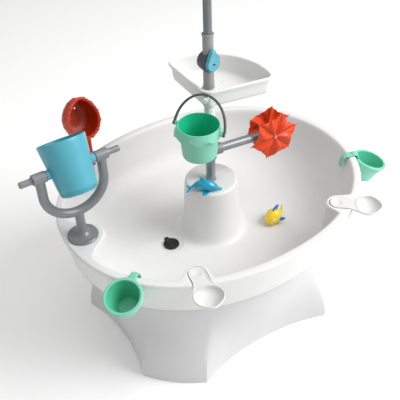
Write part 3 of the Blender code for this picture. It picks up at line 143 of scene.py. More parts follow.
def smooth_path(points, count):
    """Catmull-Rom through the points, at count even steps."""
    pts = [Vector(p) for p in points]
    pts = [pts[0] * 2 - pts[1]] + pts + [pts[-1] * 2 - pts[-2]]
    dense = []
    for k in range(1, len(pts) - 2):
        a, b, c, d = pts[k - 1:k + 3]
        for i in range(24):
            t = i / 24
            dense.append(0.5 * (2 * b + (c - a) * t + (2 * a - 5 * b + 4 * c - d) * t * t
                                + (3 * b - a - 3 * c + d) * t ** 3))
    dense.append(pts[-2])
    run = np.concatenate([[0], np.cumsum([(q - p).length for p, q in zip(dense, dense[1:])])])
    out = []
    for s in np.linspace(0, run[-1], count):
        k = min(int(np.searchsorted(run, s, side="right")) - 1, len(dense) - 2)
        share = (s - run[k]) / max(run[k + 1] - run[k], 1e-9)
        out.append(dense[k].lerp(dense[k + 1], share))
    return out


def sweep(path, section, side=(0, 0, 1), closed=False):
    """A section of (across, up) points carried along a path; up stays near side. section(k) may vary."""
    rings = []
    count = len(path)
    for k, point in enumerate(path):
        ahead = path[(k + 1) % count] if closed or k < count - 1 else path[k]
        behind = path[k - 1] if closed or k > 0 else path[k]
        along = (Vector(ahead) - Vector(behind)).normalized()
        up = Vector(side) - along * Vector(side).dot(along)
        up.normalize()
        across = up.cross(along)
        points = section(k) if callable(section) else section
        rings.append([Vector(point) + across * u + up * v for u, v in points])
    return skin(rings, wrap=closed)


def oval(half_width, half_height, count=20, power=2.0):
    points = []
    for k in range(count):
        c, s = math.cos(TAU * k / count), math.sin(TAU * k / count)
        points.append((math.copysign(abs(c) ** (2 / power), c) * half_width,
                       math.copysign(abs(s) ** (2 / power), s) * half_height))
    return points


def slab(outline, bottom, top, edge=0.001, steps=3):
    """A flat outline in XY made into a plate whose edges are rounded by edge."""
    pts = np.array([p[:2] for p in outline], float)
    ahead, behind = np.roll(pts, -1, 0), np.roll(pts, 1, 0)
    way = ahead - behind
    way /= np.maximum(np.linalg.norm(way, axis=1), 1e-9)[:, None]
    normal = np.stack([way[:, 1], -way[:, 0]], 1)
    area = 0.5 * np.sum(pts[:, 0] * ahead[:, 1] - ahead[:, 0] * pts[:, 1])
    if area < 0:
        normal = -normal
    rings = []
    for k in range(steps + 1):
        a = math.pi / 2 * k / steps
        rings.append((edge * (1 - math.sin(a)), bottom + edge * (1 - math.cos(a))))
    rings += [(inset, top - (z - bottom)) for inset, z in reversed(rings)]
    return skin([[(x, y, z) for x, y in pts - normal * inset] for inset, z in rings])


def make(name, shapes):
    """One mesh object from several shapes, in the mast's frame."""
    bm = bmesh.new()
    for verts, faces in shapes:
        made = [bm.verts.new(p) for p in verts]
        for face in faces:
            if len(face) > 2:
                bm.faces.new([made[k] for k in face])
    bmesh.ops.remove_doubles(bm, verts=bm.verts, dist=2e-6)
    bmesh.ops.recalc_face_normals(bm, faces=bm.faces)
    mesh = bpy.data.meshes.new(name)
    bm.to_mesh(mesh)
    bm.free()
    obj = bpy.data.objects.new(name, mesh)
    bpy.context.scene.collection.objects.link(obj)
    return obj


def settle(obj):
    """Keep the result of the object's modifiers as its mesh."""
    graph = bpy.context.evaluated_depsgraph_get()
    mesh = bpy.data.meshes.new_from_object(obj.evaluated_get(graph))
    obj.modifiers.clear()
    obj.data = mesh
    return obj


def carve(obj, shapes, operation="DIFFERENCE"):
    """Cut shapes out of an object one by one, or join them to it."""
    cutters = [make("cutter", [shape]) for shape in shapes]
    for cutter in cutters:
        modifier = obj.modifiers.new("carve", "BOOLEAN")
        modifier.solver = "EXACT"
        modifier.operation = operation
        modifier.object = cutter
    settle(obj)
    for cutter in cutters:
        bpy.data.objects.remove(cutter, do_unlink=True)
    return obj


def melt(obj, voxel, rounds=4, factor=0.5):
    """Fuse an object's overlapping shapes into one skin with soft inner corners."""
    remesh = obj.modifiers.new("melt", "REMESH")
    remesh.mode = "VOXEL"
    remesh.voxel_size = voxel
    remesh.use_smooth_shade = True
    if rounds:
        ease = obj.modifiers.new("ease", "SMOOTH")
        ease.factor = factor
        ease.iterations = rounds
    return settle(obj)


def show(obj, body, nodes, material, crisp=38.0, painted_shade_and_print=None):
    """Put a finished piece in its place, on its body, for its CAD nodes."""
    nodes = [nodes] if isinstance(nodes, str) else nodes
    obj.data.transform(Matrix.Translation(MAST))
    obj.data.materials.clear()
    obj.data.materials.append(material)
    obj.data.shade_smooth()
    obj.data.set_sharp_from_angle(angle=math.radians(crisp))
    # The optional per-point mask marks where the inner colour goes: painted shade inside hollows, and printed marks
    # such as eye whites.
    if painted_shade_and_print is not None:
        co = np.array([v.co for v in obj.data.vertices], float).reshape(-1, 3) - np.array(MAST)
        layer = obj.data.attributes.new("painted_shade_and_print", "FLOAT", "POINT")
        layer.data.foreach_set("value", np.clip(painted_shade_and_print(co), 0, 1).astype(np.float32))
    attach(obj, body)
    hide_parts(*nodes)
    return obj


# ------------------------------------------------------------------ materials

def srgb(hex_code):
    values = [int(hex_code[k:k + 2], 16) / 255 for k in (0, 2, 4)]
    return tuple(v / 12.92 if v <= 0.04045 else ((v + 0.055) / 1.055) ** 2.4 for v in values)


def plastic(name, colour, rough=0.42, grain=0.25, drift=0.04, inner=None, metallic=0.0, scratch=0.0, coat=0.0,
            pores=900.0):
    """Moulded plastic: faint colour drift, fine moulded grain, uneven gloss and a little handling wear. An optional
    inner colour, laid on through a per-point mask, is painted shade inside the cups, buckets and scoop, and the printed
    eye whites on the fish.
    """
    material = bpy.data.materials.new(name)
    material.use_nodes = True
    tree = material.node_tree
    nodes, links = tree.nodes, tree.links
    shader = nodes["Principled BSDF"]
    base = colour if isinstance(colour, tuple) else srgb(colour)
    coords = nodes.new("ShaderNodeTexCoord")

    def noise(scale, detail, roughness=0.55):
        node = nodes.new("ShaderNodeTexNoise")
        node.inputs["Scale"].default_value = scale
        node.inputs["Detail"].default_value = detail
        node.inputs["Roughness"].default_value = roughness
        links.new(coords.outputs["Object"], node.inputs["Vector"])
        return node.outputs["Fac"]

    def mix_colour(fac, a, b):
        node = nodes.new("ShaderNodeMix")
        node.data_type = "RGBA"
        node.inputs["Factor"].default_value = 0.0
        links.new(fac, node.inputs["Factor"])
        for socket, value in (("A", a), ("B", b)):
            target = [s for s in node.inputs if s.name == socket and s.type == "RGBA"][0]
            if isinstance(value, tuple):
                target.default_value = (*value, 1.0)
            else:
                links.new(value, target)
        return [s for s in node.outputs if s.type == "RGBA"][0]

    def spread(value, low, high):
        node = nodes.new("ShaderNodeMapRange")
        node.inputs["From Min"].default_value = 0.3
        node.inputs["From Max"].default_value = 0.7
        node.inputs["To Min"].default_value = low
        node.inputs["To Max"].default_value = high
        links.new(value, node.inputs["Value"])
        return node.outputs["Result"]

    broad = noise(7.0, 3.0)
    light = tuple(min(c * (1 + drift), 1.0) for c in base)
    dark = tuple(c * (1 - drift) for c in base)
    colour_out = mix_colour(spread(broad, 0.0, 1.0), dark, light)
    speck = noise(420.0, 2.0)
    colour_out = mix_colour(spread(speck, 0.0, 0.10), colour_out, tuple(c * 0.82 for c in base))
    # Inner colour mixed in by the per-point mask: painted shade inside hollows, and the fish's printed eye whites.
    if inner is not None:
        painted_shade_and_print = nodes.new("ShaderNodeAttribute")
        painted_shade_and_print.attribute_name = "painted_shade_and_print"
        colour_out = mix_colour(painted_shade_and_print.outputs["Fac"], colour_out, srgb(inner))
    links.new(colour_out, shader.inputs["Base Color"])
    patch = noise(26.0, 4.0, 0.6)
    links.new(spread(patch, rough - 0.06, rough + 0.07), shader.inputs["Roughness"])
    shader.inputs["Metallic"].default_value = metallic
    shader.inputs["Coat Weight"].default_value = coat
    shader.inputs["Coat Roughness"].default_value = 0.15
    bump = nodes.new("ShaderNodeBump")
    bump.inputs["Strength"].default_value = grain
    bump.inputs["Distance"].default_value = 0.0002
    links.new(noise(pores, 3.0), bump.inputs["Height"])
    wave = nodes.new("ShaderNodeBump")
    wave.inputs["Strength"].default_value = 0.10
    wave.inputs["Distance"].default_value = 0.0015
    links.new(noise(38.0, 2.0), wave.inputs["Height"])
    links.new(bump.outputs["Normal"], wave.inputs["Normal"])
    last = wave
    if scratch:
        streak = nodes.new("ShaderNodeTexNoise")
        streak.inputs["Scale"].default_value = 60.0
        streak.inputs["Detail"].default_value = 6.0
        stretch = nodes.new("ShaderNodeMapping")
        stretch.inputs["Scale"].default_value = (14.0, 14.0, 0.5)
        links.new(coords.outputs["Object"], stretch.inputs["Vector"])
        links.new(stretch.outputs["Vector"], streak.inputs["Vector"])
        scuff = nodes.new("ShaderNodeBump")
        scuff.inputs["Strength"].default_value = scratch
        scuff.inputs["Distance"].default_value = 0.0002
        links.new(streak.outputs["Fac"], scuff.inputs["Height"])
        links.new(last.outputs["Normal"], scuff.inputs["Normal"])
        last = scuff
    links.new(last.outputs["Normal"], shader.inputs["Normal"])
    return material


WHITE = plastic("white_moulded", (0.735, 0.732, 0.727), 0.44, 0.30, 0.012)
# Painted shade: the stand's white is a darker copy of the basin's white, to deepen its shaded sides.
WHITE_STAND_SHADED = plastic("white_stand_painted_shade", (0.650, 0.648, 0.655), 0.50, 0.35, 0.012)
WHITE_TRAY = plastic("white_tray", (0.770, 0.768, 0.758), 0.40, 0.22, 0.012)
# Painted shade: the spoons' white is a darker copy, for the shade on their bowls.
WHITE_SPOON_SHADED = plastic("white_spoon_painted_shade", (0.700, 0.698, 0.692), 0.36, 0.18, 0.010)
GREY = plastic("grey_moulded", "808386", 0.36, 0.30, 0.03, metallic=0.22)
GREY_TUBE = plastic("grey_tube", "8f9499", 0.30, 0.12, 0.02, metallic=0.35, scratch=0.12)
DARK_TUBE = plastic("dark_tube", "73777b", 0.30, 0.12, 0.02, metallic=0.45, scratch=0.12)
SLEEVE = plastic("sleeve_grey", "8f9290", 0.42, 0.25, 0.03)
CHARCOAL = plastic("charcoal_moulded", "4a4c4f", 0.46, 0.30, 0.03)
BAIL = plastic("bail_grey", "4c5455", 0.42, 0.30, 0.03)
# The inner colours of the sky, mint and red plastics are painted shade: deeper, darker tones for the insides of the
# buckets, cups and scoop, where less light reaches.
SKY = plastic("sky_moulded", "52a6b8", 0.34, 0.20, 0.03, inner="3f97a6")
KNOB = plastic("sky_knob", "58a8ba", 0.36, 0.20, 0.03)
MINT = plastic("mint_moulded", "80c7af", 0.36, 0.22, 0.03, inner="22c294")
MINT_CUP = plastic("mint_cup", "80c9b0", 0.36, 0.22, 0.03, inner="52bd98")
RED = plastic("red_moulded", "c4370f", 0.38, 0.24, 0.04, inner="a22a04")
ORANGE = plastic("orange_moulded", "dd420e", 0.38, 0.26, 0.03)
RUBBER = plastic("black_rubber", "090909", 0.30, 0.25, 0.05)
STEEL = plastic("plain_steel", "b9bbbd", 0.28, 0.10, 0.02, metallic=0.9, scratch=0.2)
OCEAN = plastic("dolphin_blue", "089cbe", 0.22, 0.10, 0.03, coat=0.5)
YELLOW = plastic("fish_yellow", "f2d21c", 0.30, 0.14, 0.03, inner="f2f2ee", coat=0.3)
FIN = plastic("fin_blue", "1f62c4", 0.30, 0.14, 0.03, coat=0.3)


# ------------------------------------------------------------------ basin

RIM_X, RIM_Y, RIM_POWER = 0.485, 0.394, 2.14
RIM_TOP = 0.478
FLOOR = 0.300
PEDESTAL_TOP = 0.495
MAST_R = 0.01425
YOKE_LOBE = (-0.428, 0.008, 0.063)
LAUNCHERS = {"front": ((-0.2460, -0.2980), -102.0), "right": ((0.2540, -0.2935), -42.0)}
SEAT_R = 0.037
DRAIN_X = -0.155


def rim_radius(angle, inset=0.0, scale=1.0):
    x = np.abs(np.cos(angle)) / (RIM_X * scale - inset)
    y = np.abs(np.sin(angle)) / (RIM_Y * scale - inset)
    return (x ** RIM_POWER + y ** RIM_POWER) ** (-1 / RIM_POWER)


def rim_way(angle):
    x, y = rim_radius(angle) * math.cos(angle), rim_radius(angle) * math.sin(angle)
    slope = [math.copysign((abs(v) / half) ** (RIM_POWER - 1) / half, v) for v, half in ((x, RIM_X), (y, RIM_Y))]
    return Vector((*slope, 0)).normalized()


def lobe_reach(angles, x, y, radius, blur):
    """How far the rim's flat top runs in from its plain inner edge beside a round seat."""
    fine = np.radians(np.arange(-180, 180, 0.1))
    far, middle = math.hypot(x, y), math.atan2(y, x)
    off = (fine - middle + math.pi) % TAU - math.pi
    half = math.asin(radius / far)
    inside = np.abs(off) < half
    entry = far * np.cos(off) - np.sqrt(np.maximum(radius ** 2 - (far * np.sin(off)) ** 2, 0))
    reach = np.where(inside, np.maximum(rim_radius(fine, 0.0265) - entry, 0), 0.0)
    width = int(blur * 10) * 3
    bell = np.exp(-0.5 * (np.arange(-width, width + 1) / (blur * 10)) ** 2)
    bell /= bell.sum()
    reach = np.convolve(np.concatenate([reach[-width:], reach, reach[:width]]), bell, mode="valid")
    return np.interp((angles + math.pi) % TAU - math.pi, fine, reach, period=TAU), np.abs(
        (angles - middle + math.pi) % TAU - math.pi)


def basin_angles():
    spots = [(YOKE_LOBE[0], YOKE_LOBE[1], 20.0, 0.6)] + [(*spot, 11.0, 0.4) for spot, _ in LAUNCHERS.values()]
    angles = set(np.round(np.arange(-180, 180, 1.8), 3))
    for x, y, half, step in spots:
        middle = math.degrees(math.atan2(y, x))
        angles = {a for a in angles if abs((a - middle + 180) % 360 - 180) > half}
        angles |= {round(float((a + 180) % 360 - 180), 3) for a in middle + np.arange(-half, half + 0.01, step)}
    return np.radians(np.array(sorted(angles)))


def basin_rings():
    angles = basin_angles()
    lobe, lobe_off = lobe_reach(angles, *YOKE_LOBE, 2.6)
    reach = lobe
    seat = np.clip(1.7 - lobe_off / math.radians(8.0), 0, 1)
    for (x, y), _ in LAUNCHERS.values():
        more, off = lobe_reach(angles, x, y, SEAT_R, 0.7)
        reach = reach + more
        seat = np.maximum(seat, np.clip(1.9 - off / math.radians(6.5), 0, 1))
    seat = seat * seat * (3 - 2 * seat)
    blank = np.zeros_like(angles)
    top = RIM_TOP

    def rim(inset, z, bend, pull=0.0, scale=1.0, drop=0.0):
        return rim_radius(angles, inset, scale) - reach * pull - seat * drop * 0.22, z - seat * drop + blank, bend

    def ring(radius, z, bend=0.0):
        return blank + radius, blank + z, bend

    line = [
        rim(0.0, 0.360, 0, scale=0.955), rim(0.0010, 0.3585, 0.001, scale=0.955),
        rim(0.0, top - 0.0135, 0.004), rim(-0.0006, top, 0.0075),
        rim(0.0225, top, 0.0065, 1.0), rim(0.0275, top - 0.0110, 0.006, 1.0), rim(0.0330, top - 0.0400, 1, 0.93),
        rim(0.0430, 0.405, 1, 0.74), rim(0.0600, 0.366, 1, 0.40), rim(0.0950, 0.331, 1, 0.10),
        rim(0.1400, 0.310, 1), rim(0.1950, 0.3010, 1),
        ring(0.150, FLOOR, 1), ring(0.0985, FLOOR, 0.022), ring(0.0905, FLOOR + 0.050, 0.05),
        ring(0.0822, PEDESTAL_TOP - 0.018, 0.02), ring(0.0803, PEDESTAL_TOP, 0.0085), ring(0.0200, PEDESTAL_TOP, 0.004),
        ring(MAST_R + 0.0005, PEDESTAL_TOP - 0.0012, 0.001), ring(MAST_R + 0.0003, 0.430),
    ]
    under = [
        ring(0.0185, 0.426), ring(0.0185, 0.490), ring(0.070, 0.490), ring(0.0772, 0.478), ring(0.0890, 0.350, 0.02),
        ring(0.100, FLOOR - 0.0040, 0.02), ring(0.150, FLOOR - 0.0045, 0.03),
        rim(0.1900, 0.2970, 0.05), rim(0.1350, 0.3060, 0.05), rim(0.0900, 0.3270, 0.05, 0.06),
        rim(0.0555, 0.3620, 0.05, 0.30), rim(0.0385, 0.4030, 0.03, 0.55), rim(0.0300, top - 0.0400, 0.01, 0.80),
        rim(0.0230, top - 0.0060, 0.002, 0.85, drop=0.038), rim(0.0080, top - 0.0045, 0.002, drop=0.040),
        rim(0.0042, top - 0.0160, 0.002, drop=0.028), rim(0.0042, 0.362, 0.001, scale=0.955),
        rim(0.0030, 0.3585, 0, scale=0.955),
    ]
    rings = []
    for part in (line, under):
        columns = []
        for k in range(len(angles)):
            columns.append(soften([(r[k], z[k], bend) for r, z, bend in part], 4))
        table = np.array(columns)
        for step in range(table.shape[1]):
            r, z = table[:, step, 0], table[:, step, 1]
            rings.append(np.stack([r * np.cos(angles), r * np.sin(angles), z], 1))
        if part is line:
            rings.append([(0, 0, 0.430)])
            rings.append([(0, 0, 0.426)])
    return rings


def launcher_frame(key):
    (x, y), heading = LAUNCHERS[key]
    way = polar(1.0, math.radians(heading))
    return frame_at((x, y, 0), x_way=way)


def slot_outline(radius, length, steps=28):
    points = [(radius * math.cos(a), radius * math.sin(a))
              for a in np.linspace(math.pi / 2, 1.5 * math.pi, steps + 1)]
    return points + [(length, -radius), (length, radius)]


def build_basin():
    basin = make("basin_shell", [skin(basin_rings(), wrap=True)])
    cutters = []
    for key in LAUNCHERS:
        rings = []
        for radius, z in ((0.0228, 0.4390), (0.0250, 0.4400), (0.0256, 0.4420), (0.0256, 0.4756), (0.0258, 0.4768),
                          (0.0263, 0.4775), (0.0270, 0.4779), (0.0278, 0.47805), (0.0278, 0.4900)):
            rings.append([(x, y, z) for x, y in slot_outline(radius, 0.12)])
        cutters.append(moved(skin(rings), launcher_frame(key)))
    drain = Matrix.Translation((DRAIN_X, 0, 0))
    cutters.append(moved(turned([(0, 0.2984), (0.0345, 0.2984, 0.003), (0.0380, 0.3000, 0.002), (0.0420, 0.3012),
                                 (0.0420, 0.3300), (0, 0.3300)], 64), drain))
    cutters.append(moved(rod(0.0160, (0, 0, 0.28), (0, 0, 0.31), 40), drain))
    carve(basin, cutters)
    show(basin, "table", "basin", WHITE, 42)


# ------------------------------------------------------------------ stand

FOOT_LONG, FOOT_SHORT = Vector((0.389, 0.1795)), Vector((0.2375, 0.316))
SIDE_X, SIDE_Y = 0.359, 0.274
FOOT_BULGE = 0.013
WAIST_Z = 0.250
WAIST_SCALE = 0.80


def stand_outline(side=16, foot=18):
    """The four-footed floor edge, from +X round; each point has how near it is to a side's middle."""
    quarter = []
    for k in range(side):
        ease = (k / side) ** 2.2
        quarter.append((SIDE_X + (FOOT_LONG.x - SIDE_X) * ease, FOOT_LONG.y * k / side, 1 - k / side))
    chord = FOOT_SHORT - FOOT_LONG
    outward = Vector((-chord.y, chord.x)).normalized()
    if outward.dot(FOOT_LONG) < 0:
        outward.negate()
    for k in range(foot + 1):
        s = k / foot
        point = FOOT_LONG + chord * s + outward * FOOT_BULGE * 4 * s * (1 - s)
        quarter.append((point.x, point.y, 0.0))
    for k in range(1, side + 1):
        s = 1 - k / side
        quarter.append((FOOT_SHORT.x * s, SIDE_Y + (FOOT_SHORT.y - SIDE_Y) * s ** 2.2, 1 - s))
    upper = quarter + [(-x, y, w) for x, y, w in reversed(quarter[:-1])]
    return upper + [(x, -y, w) for x, y, w in reversed(upper[1:-1])]


def stand_ring(z, inset=0.0):
    ring = []
    for x, y, middle in stand_outline():
        angle, far = math.atan2(y, x), math.hypot(x, y)
        kick = 0.020 * math.sin(math.pi * min(middle * 1.05, 1.0) ** 0.6) if middle else 0.0
        level = max(z - kick, 0.0) if z < WAIST_Z else z
        share = 0.5 * (1 + math.cos(math.pi * min(level / WAIST_Z, 1.0)))
        waist = float(rim_radius(angle, 0.0, WAIST_SCALE))
        ring.append(polar(waist + (far - waist) * share - inset, angle, z))
    return ring


def build_stand():
    wall = 0.005
    heights = [0.250 - 0.246 * (k / 26) ** 0.85 for k in range(27)]
    deck = 0.2957
    rings = [stand_ring(deck - 0.0002, 0.080), stand_ring(deck, 0.0175), stand_ring(deck + 0.002, 0.0135),
             stand_ring(0.3165, 0.0068), stand_ring(0.3180, 0.0052), stand_ring(0.3180, 0.0022),
             stand_ring(0.3165, 0.0005), stand_ring(0.300), stand_ring(0.275)]
    rings += [stand_ring(z) for z in heights]
    rings += [stand_ring(0.0012, 0.0006), stand_ring(0.0, 0.0022), stand_ring(0.0, 0.0135),
              stand_ring(wall, 0.0140), stand_ring(wall + 0.002, wall)]
    rings += [stand_ring(z, wall) for z in reversed(heights[::3])]
    rings += [stand_ring(deck - 0.009, wall + 0.001), stand_ring(deck - 0.006, wall + 0.004)]
    shape = skin(rings)
    stand = make("stand_shell", [shape])
    holes = [rod(0.0230, (DRAIN_X, 0, 0.27), (DRAIN_X, 0, 0.31), 40)]
    holes += [rod(0.0088, (sx * 0.2, sy * 0.115, 0.27), (sx * 0.2, sy * 0.115, 0.31), 20)
              for sx in (-1, 1) for sy in (-1, 1)]
    carve(stand, holes)
    show(stand, "table", "base_stand", WHITE_STAND_SHADED, 33)


# ------------------------------------------------------------------ mast, arm and spinner

ARM_Z = 0.600
ARM_ANGLE = math.radians(-8.0)
ARM_WAY = polar(1.0, ARM_ANGLE)
AXLE_WAY = Vector((math.sin(ARM_ANGLE), -math.cos(ARM_ANGLE), 0.0))
SPINNER_AT = polar(0.205, ARM_ANGLE, ARM_Z)


def build_mast():
    mast = make("mast_tube", [tube_shape([
        (MAST_R, 0.4303, 0), (MAST_R, 0.628, 0.0006), (0.0125, 0.628, 0.0006), (0.0125, 0.668, 0.001),
        (0.0105, 0.668, 0.0005), (0.0105, 0.625, 0), (0.0120, 0.622, 0), (0.0120, 0.4303, 0)])])
    show(mast, "table", "mast_lower", GREY_TUBE)

    tee = make("tee_collar", [
        turned([(0, 0.5735), (0.0172, 0.5735, 0.001), (0.0190, 0.5760, 0.002), (0.0190, 0.6240, 0.002),
                (0.0172, 0.6263, 0.001), (0, 0.6263)], 64),
        rod(0.0178, (0, 0, ARM_Z), polar(0.036, ARM_ANGLE, ARM_Z), 48, 0.0015)])
    melt(tee, 0.0009, 6)
    carve(tee, [rod(MAST_R + 0.0003, (0, 0, 0.55), (0, 0, 0.65), 64),
                rod(0.0138, polar(0.004, ARM_ANGLE, ARM_Z), polar(0.06, ARM_ANGLE, ARM_Z), 48)])
    show(tee, "table", "arm_tee", GREY)

    length = 0.219 - 0.0155
    place = frame_at(polar(0.0155, ARM_ANGLE, ARM_Z), z_way=ARM_WAY)
    arm = make("arm_tube", [moved(tube_shape([
        (0.0135, 0, 0.0004), (0.0135, length, 0.0004), (0.0113, length, 0.0004), (0.0113, 0, 0.0004)]), place)])
    carve(arm, [rod(0.0028, SPINNER_AT - AXLE_WAY * 0.03, SPINNER_AT + AXLE_WAY * 0.03, 20)])
    show(arm, "table", "spinner_arm", GREY_TUBE)

    end = frame_at(polar(0.2193, ARM_ANGLE, ARM_Z), z_way=ARM_WAY)
    cap = make("arm_end_cap", [moved(turned([
        (0, 0.0045), (0.0070, 0.0043, 0.003), (0.0135, 0.0030, 0.002), (0.0135, 0.0, 0.0004), (0.0110, 0.0, 0.0002),
        (0.0110, -0.0060, 0.001), (0, -0.0060)]), end)])
    show(cap, "table", "arm_cap", GREY)


WHEEL_R = 0.0795
WHEEL_VALLEY = 0.0625


def wheel_point(share, turn, back):
    """A point of the umbrella-like wheel: six panels that billow out between spiked ribs."""
    phase = (turn * 6 / TAU) % 1.0
    rib = abs(1.0 - 2.0 * phase)
    edge = WHEEL_VALLEY + (WHEEL_R - WHEEL_VALLEY) * rib ** 2.4 + 0.0016 * math.sin(turn * 17.0) * (1 - rib)
    radius = 0.0045 + (edge - 0.0045) * share
    cone = 0.0262 - 0.0047 * share ** 1.4
    billow = 0.0140 * math.sin(math.pi * min(share * 0.80 + 0.02, 1.0)) * (1 - rib ** 1.6)
    twist = 0.10 * math.sin(math.pi * share) * (1 - rib)
    crease = 0.0030 * math.sin(share * 5.0 + phase * 9.0 + 1.0) * share * (1 - rib) * rib * 4
    return polar(radius, turn + twist, cone + billow * (0.55 + 0.45 * share) - 0.0010 * rib ** 12 + crease - back)


def build_wheel(name, node, side, phase):
    turns = [TAU * k / 132 for k in range(132)]
    shares = [0.0, 0.04, 0.1, 0.18, 0.27, 0.37, 0.47, 0.57, 0.67, 0.77, 0.86, 0.94, 0.985, 1.0]
    rings = [[wheel_point(s, t, 0.0) for t in turns] for s in shares]
    rings += [[wheel_point(0.995, t, 0.0009) for t in turns]]
    rings += [[wheel_point(s, t, 0.0018) for t in turns] for s in reversed(shares[:-1])]
    shapes = [skin(rings, wrap=True)]
    shapes.append(turned([(0, 0.0215), (0.0080, 0.0215, 0.001), (0.0076, 0.0270, 0.002), (0.0055, 0.0293, 0.001),
                          (0, 0.0293)], 40))
    for k in range(6):
        a = TAU * k / 6
        shapes.append(rod(0.0019, polar(WHEEL_R - 0.012, a, 0.0212), polar(WHEEL_R + 0.0040, a, 0.0216), 12, 0.0006,
                          end_radius=0.0012))
        shapes.append(rod(0.0015, polar(0.006, a, 0.0242), polar(WHEEL_R - 0.008, a, 0.0202), 10, 0.0005))
    place = frame_at(SPINNER_AT, x_way=ARM_WAY, z_way=AXLE_WAY * side) @ Matrix.Rotation(phase, 4, "Z")
    wheel = make(name, [moved(shape, place) for shape in shapes])
    melt(wheel, 0.00085, 2, 0.4)
    carve(wheel, [rod(0.0028, SPINNER_AT - AXLE_WAY * 0.04, SPINNER_AT + AXLE_WAY * 0.04, 20)])
    show(wheel, "spinner", node, ORANGE, 60)


def build_spinner():
    build_wheel("wheel_front", "spinner_front", 1, math.radians(13.0))
    build_wheel("wheel_back", "spinner_back", -1, math.radians(40.0))
    half = 0.031
    pin = make("spinner_pin", [moved(turned([
        (0, half + 0.0016), (0.0030, half + 0.0014, 0.001), (0.0048, half + 0.0004, 0.0006),
        (0.0048, half - 0.0010, 0.0002), (0.0025, half - 0.0010), (0.0025, -half + 0.0010),
        (0.0048, -half + 0.0010, 0.0002), (0.0048, -half - 0.0004, 0.0006), (0.0030, -half - 0.0014, 0.001),
        (0, -half - 0.0016)], 40), frame_at(SPINNER_AT, z_way=AXLE_WAY))])
    show(pin, "spinner", "spinner_axle", STEEL)


# ------------------------------------------------------------------ rain tray, sleeve, pole and clamp

TRAY_Z = 0.820
TRAY_FROM, TRAY_TO = math.radians(-11.0), math.radians(88.0)
TRAY_REACH = 0.192
TRAY_NOSE = 0.031
TRAY_DEPTH = 0.058
HOOK_WAY = polar(1.0, math.radians(-137.0))


def arc(centre, radius, start, end, steps):
    return [(centre[0] + radius * math.cos(a), centre[1] + radius * math.sin(a))
            for a in np.linspace(start, end, steps + 1)]


def tray_outline(inset):
    middle, half = (TRAY_FROM + TRAY_TO) / 2, (TRAY_TO - TRAY_FROM) / 2
    nose, reach = TRAY_NOSE - inset, TRAY_REACH - inset
    corner = max(0.022 - inset * 0.6, 0.005)
    sides = []
    for sign in (1, -1):
        way = Vector((math.cos(sign * half), math.sin(sign * half)))
        out = Vector((-way.y, way.x)) * sign
        run = math.sqrt((reach - corner) ** 2 - (nose - corner) ** 2)
        centre = way * run + out * (nose - corner)
        bend = arc(centre, corner, math.atan2(out.y, out.x), math.atan2(centre.y, centre.x), 12)
        start = out * nose
        lead = [tuple(start.lerp(Vector(bend[0]), s)) for s in np.linspace(0, 1, 13)[:-1]]
        sides.append(lead + bend)
    back = arc((0, 0), reach, math.atan2(sides[0][-1][1], sides[0][-1][0]),
               math.atan2(sides[1][-1][1], sides[1][-1][0]), 30)
    first, last = sides[1][0], sides[0][0]
    nose_arc = arc((0, 0), nose, math.atan2(first[1], first[0]), math.atan2(last[1], last[0]) - TAU, 20)
    points = sides[0] + back[1:-1] + sides[1][::-1] + nose_arc[1:-1]
    turn = Matrix.Rotation(middle, 2)
    return [tuple(turn @ Vector(p)) for p in points]


def build_tray():
    top, foot = TRAY_Z, TRAY_Z - TRAY_DEPTH
    line = [(0.0200, foot, 0), (0.0140, foot, 0.006), (0.0102, foot + 0.010, 0.006), (0.0080, top - 0.0200, 0.001),
            (0.0066, top - 0.0192, 0.001), (0.0056, top - 0.0096, 0.001), (0.0010, top - 0.0090, 0.001),
            (0.0, top - 0.0070, 0.001), (0.0, top, 0.0040), (0.0078, top, 0.0036), (0.0090, top - 0.0085, 0.003),
            (0.0132, foot + 0.0080, 0.02), (0.0185, foot + 0.0030, 0.008), (0.0235, foot + 0.0026, 0)]
    rings = [[(x, y, z) for x, y in tray_outline(inset)] for inset, z in soften(line, 4)]
    tray = make("tray_shell", [skin(rings)])
    post = turned([(0, foot + 0.0006), (0.0185, foot + 0.0006, 0.002), (0.0215, foot + 0.006, 0.004),
                   (0.0226, top - 0.006, 0.003), (0.0205, top - 0.0030, 0.002), (0, top - 0.0026)])
    sleeve = turned([(0, 0.6283), (0.0148, 0.6283, 0.001), (0.0155, 0.6300, 0.001), (0.0155, foot - 0.004, 0.004),
                     (0.0180, foot + 0.001, 0.003), (0, foot + 0.002)])
    hook_line = [HOOK_WAY * 0.004 + Vector((0, 0, 0.803)), HOOK_WAY * 0.050 + Vector((0, 0, 0.803))]
    hook = rod(0.0070, *hook_line, 40, 0.0016)
    lip = rod(0.0079, HOOK_WAY * 0.0485 + Vector((0, 0, 0.8026)), HOOK_WAY * 0.0520 + Vector((0, 0, 0.8026)), 40, 0.001)
    carve(tray, [post, sleeve, hook, lip], "UNION")
    cutters = [rod(0.0128, (0, 0, 0.62), (0, 0, 0.84), 64)]
    middle = (TRAY_FROM + TRAY_TO) / 2
    for distance, count, spread in ((0.085, 2, 0.40), (0.120, 3, 0.40), (0.155, 2, 0.80)):
        for k in range(count):
            spot = polar(distance, middle + spread * (k - (count - 1) / 2), foot - 0.005)
            cutters.append(rod(0.0025, spot, spot + Vector((0, 0, 0.012)), 20))
    carve(tray, cutters)
    show(tray, "rain_tray", "rain_tray", WHITE_TRAY, 38)


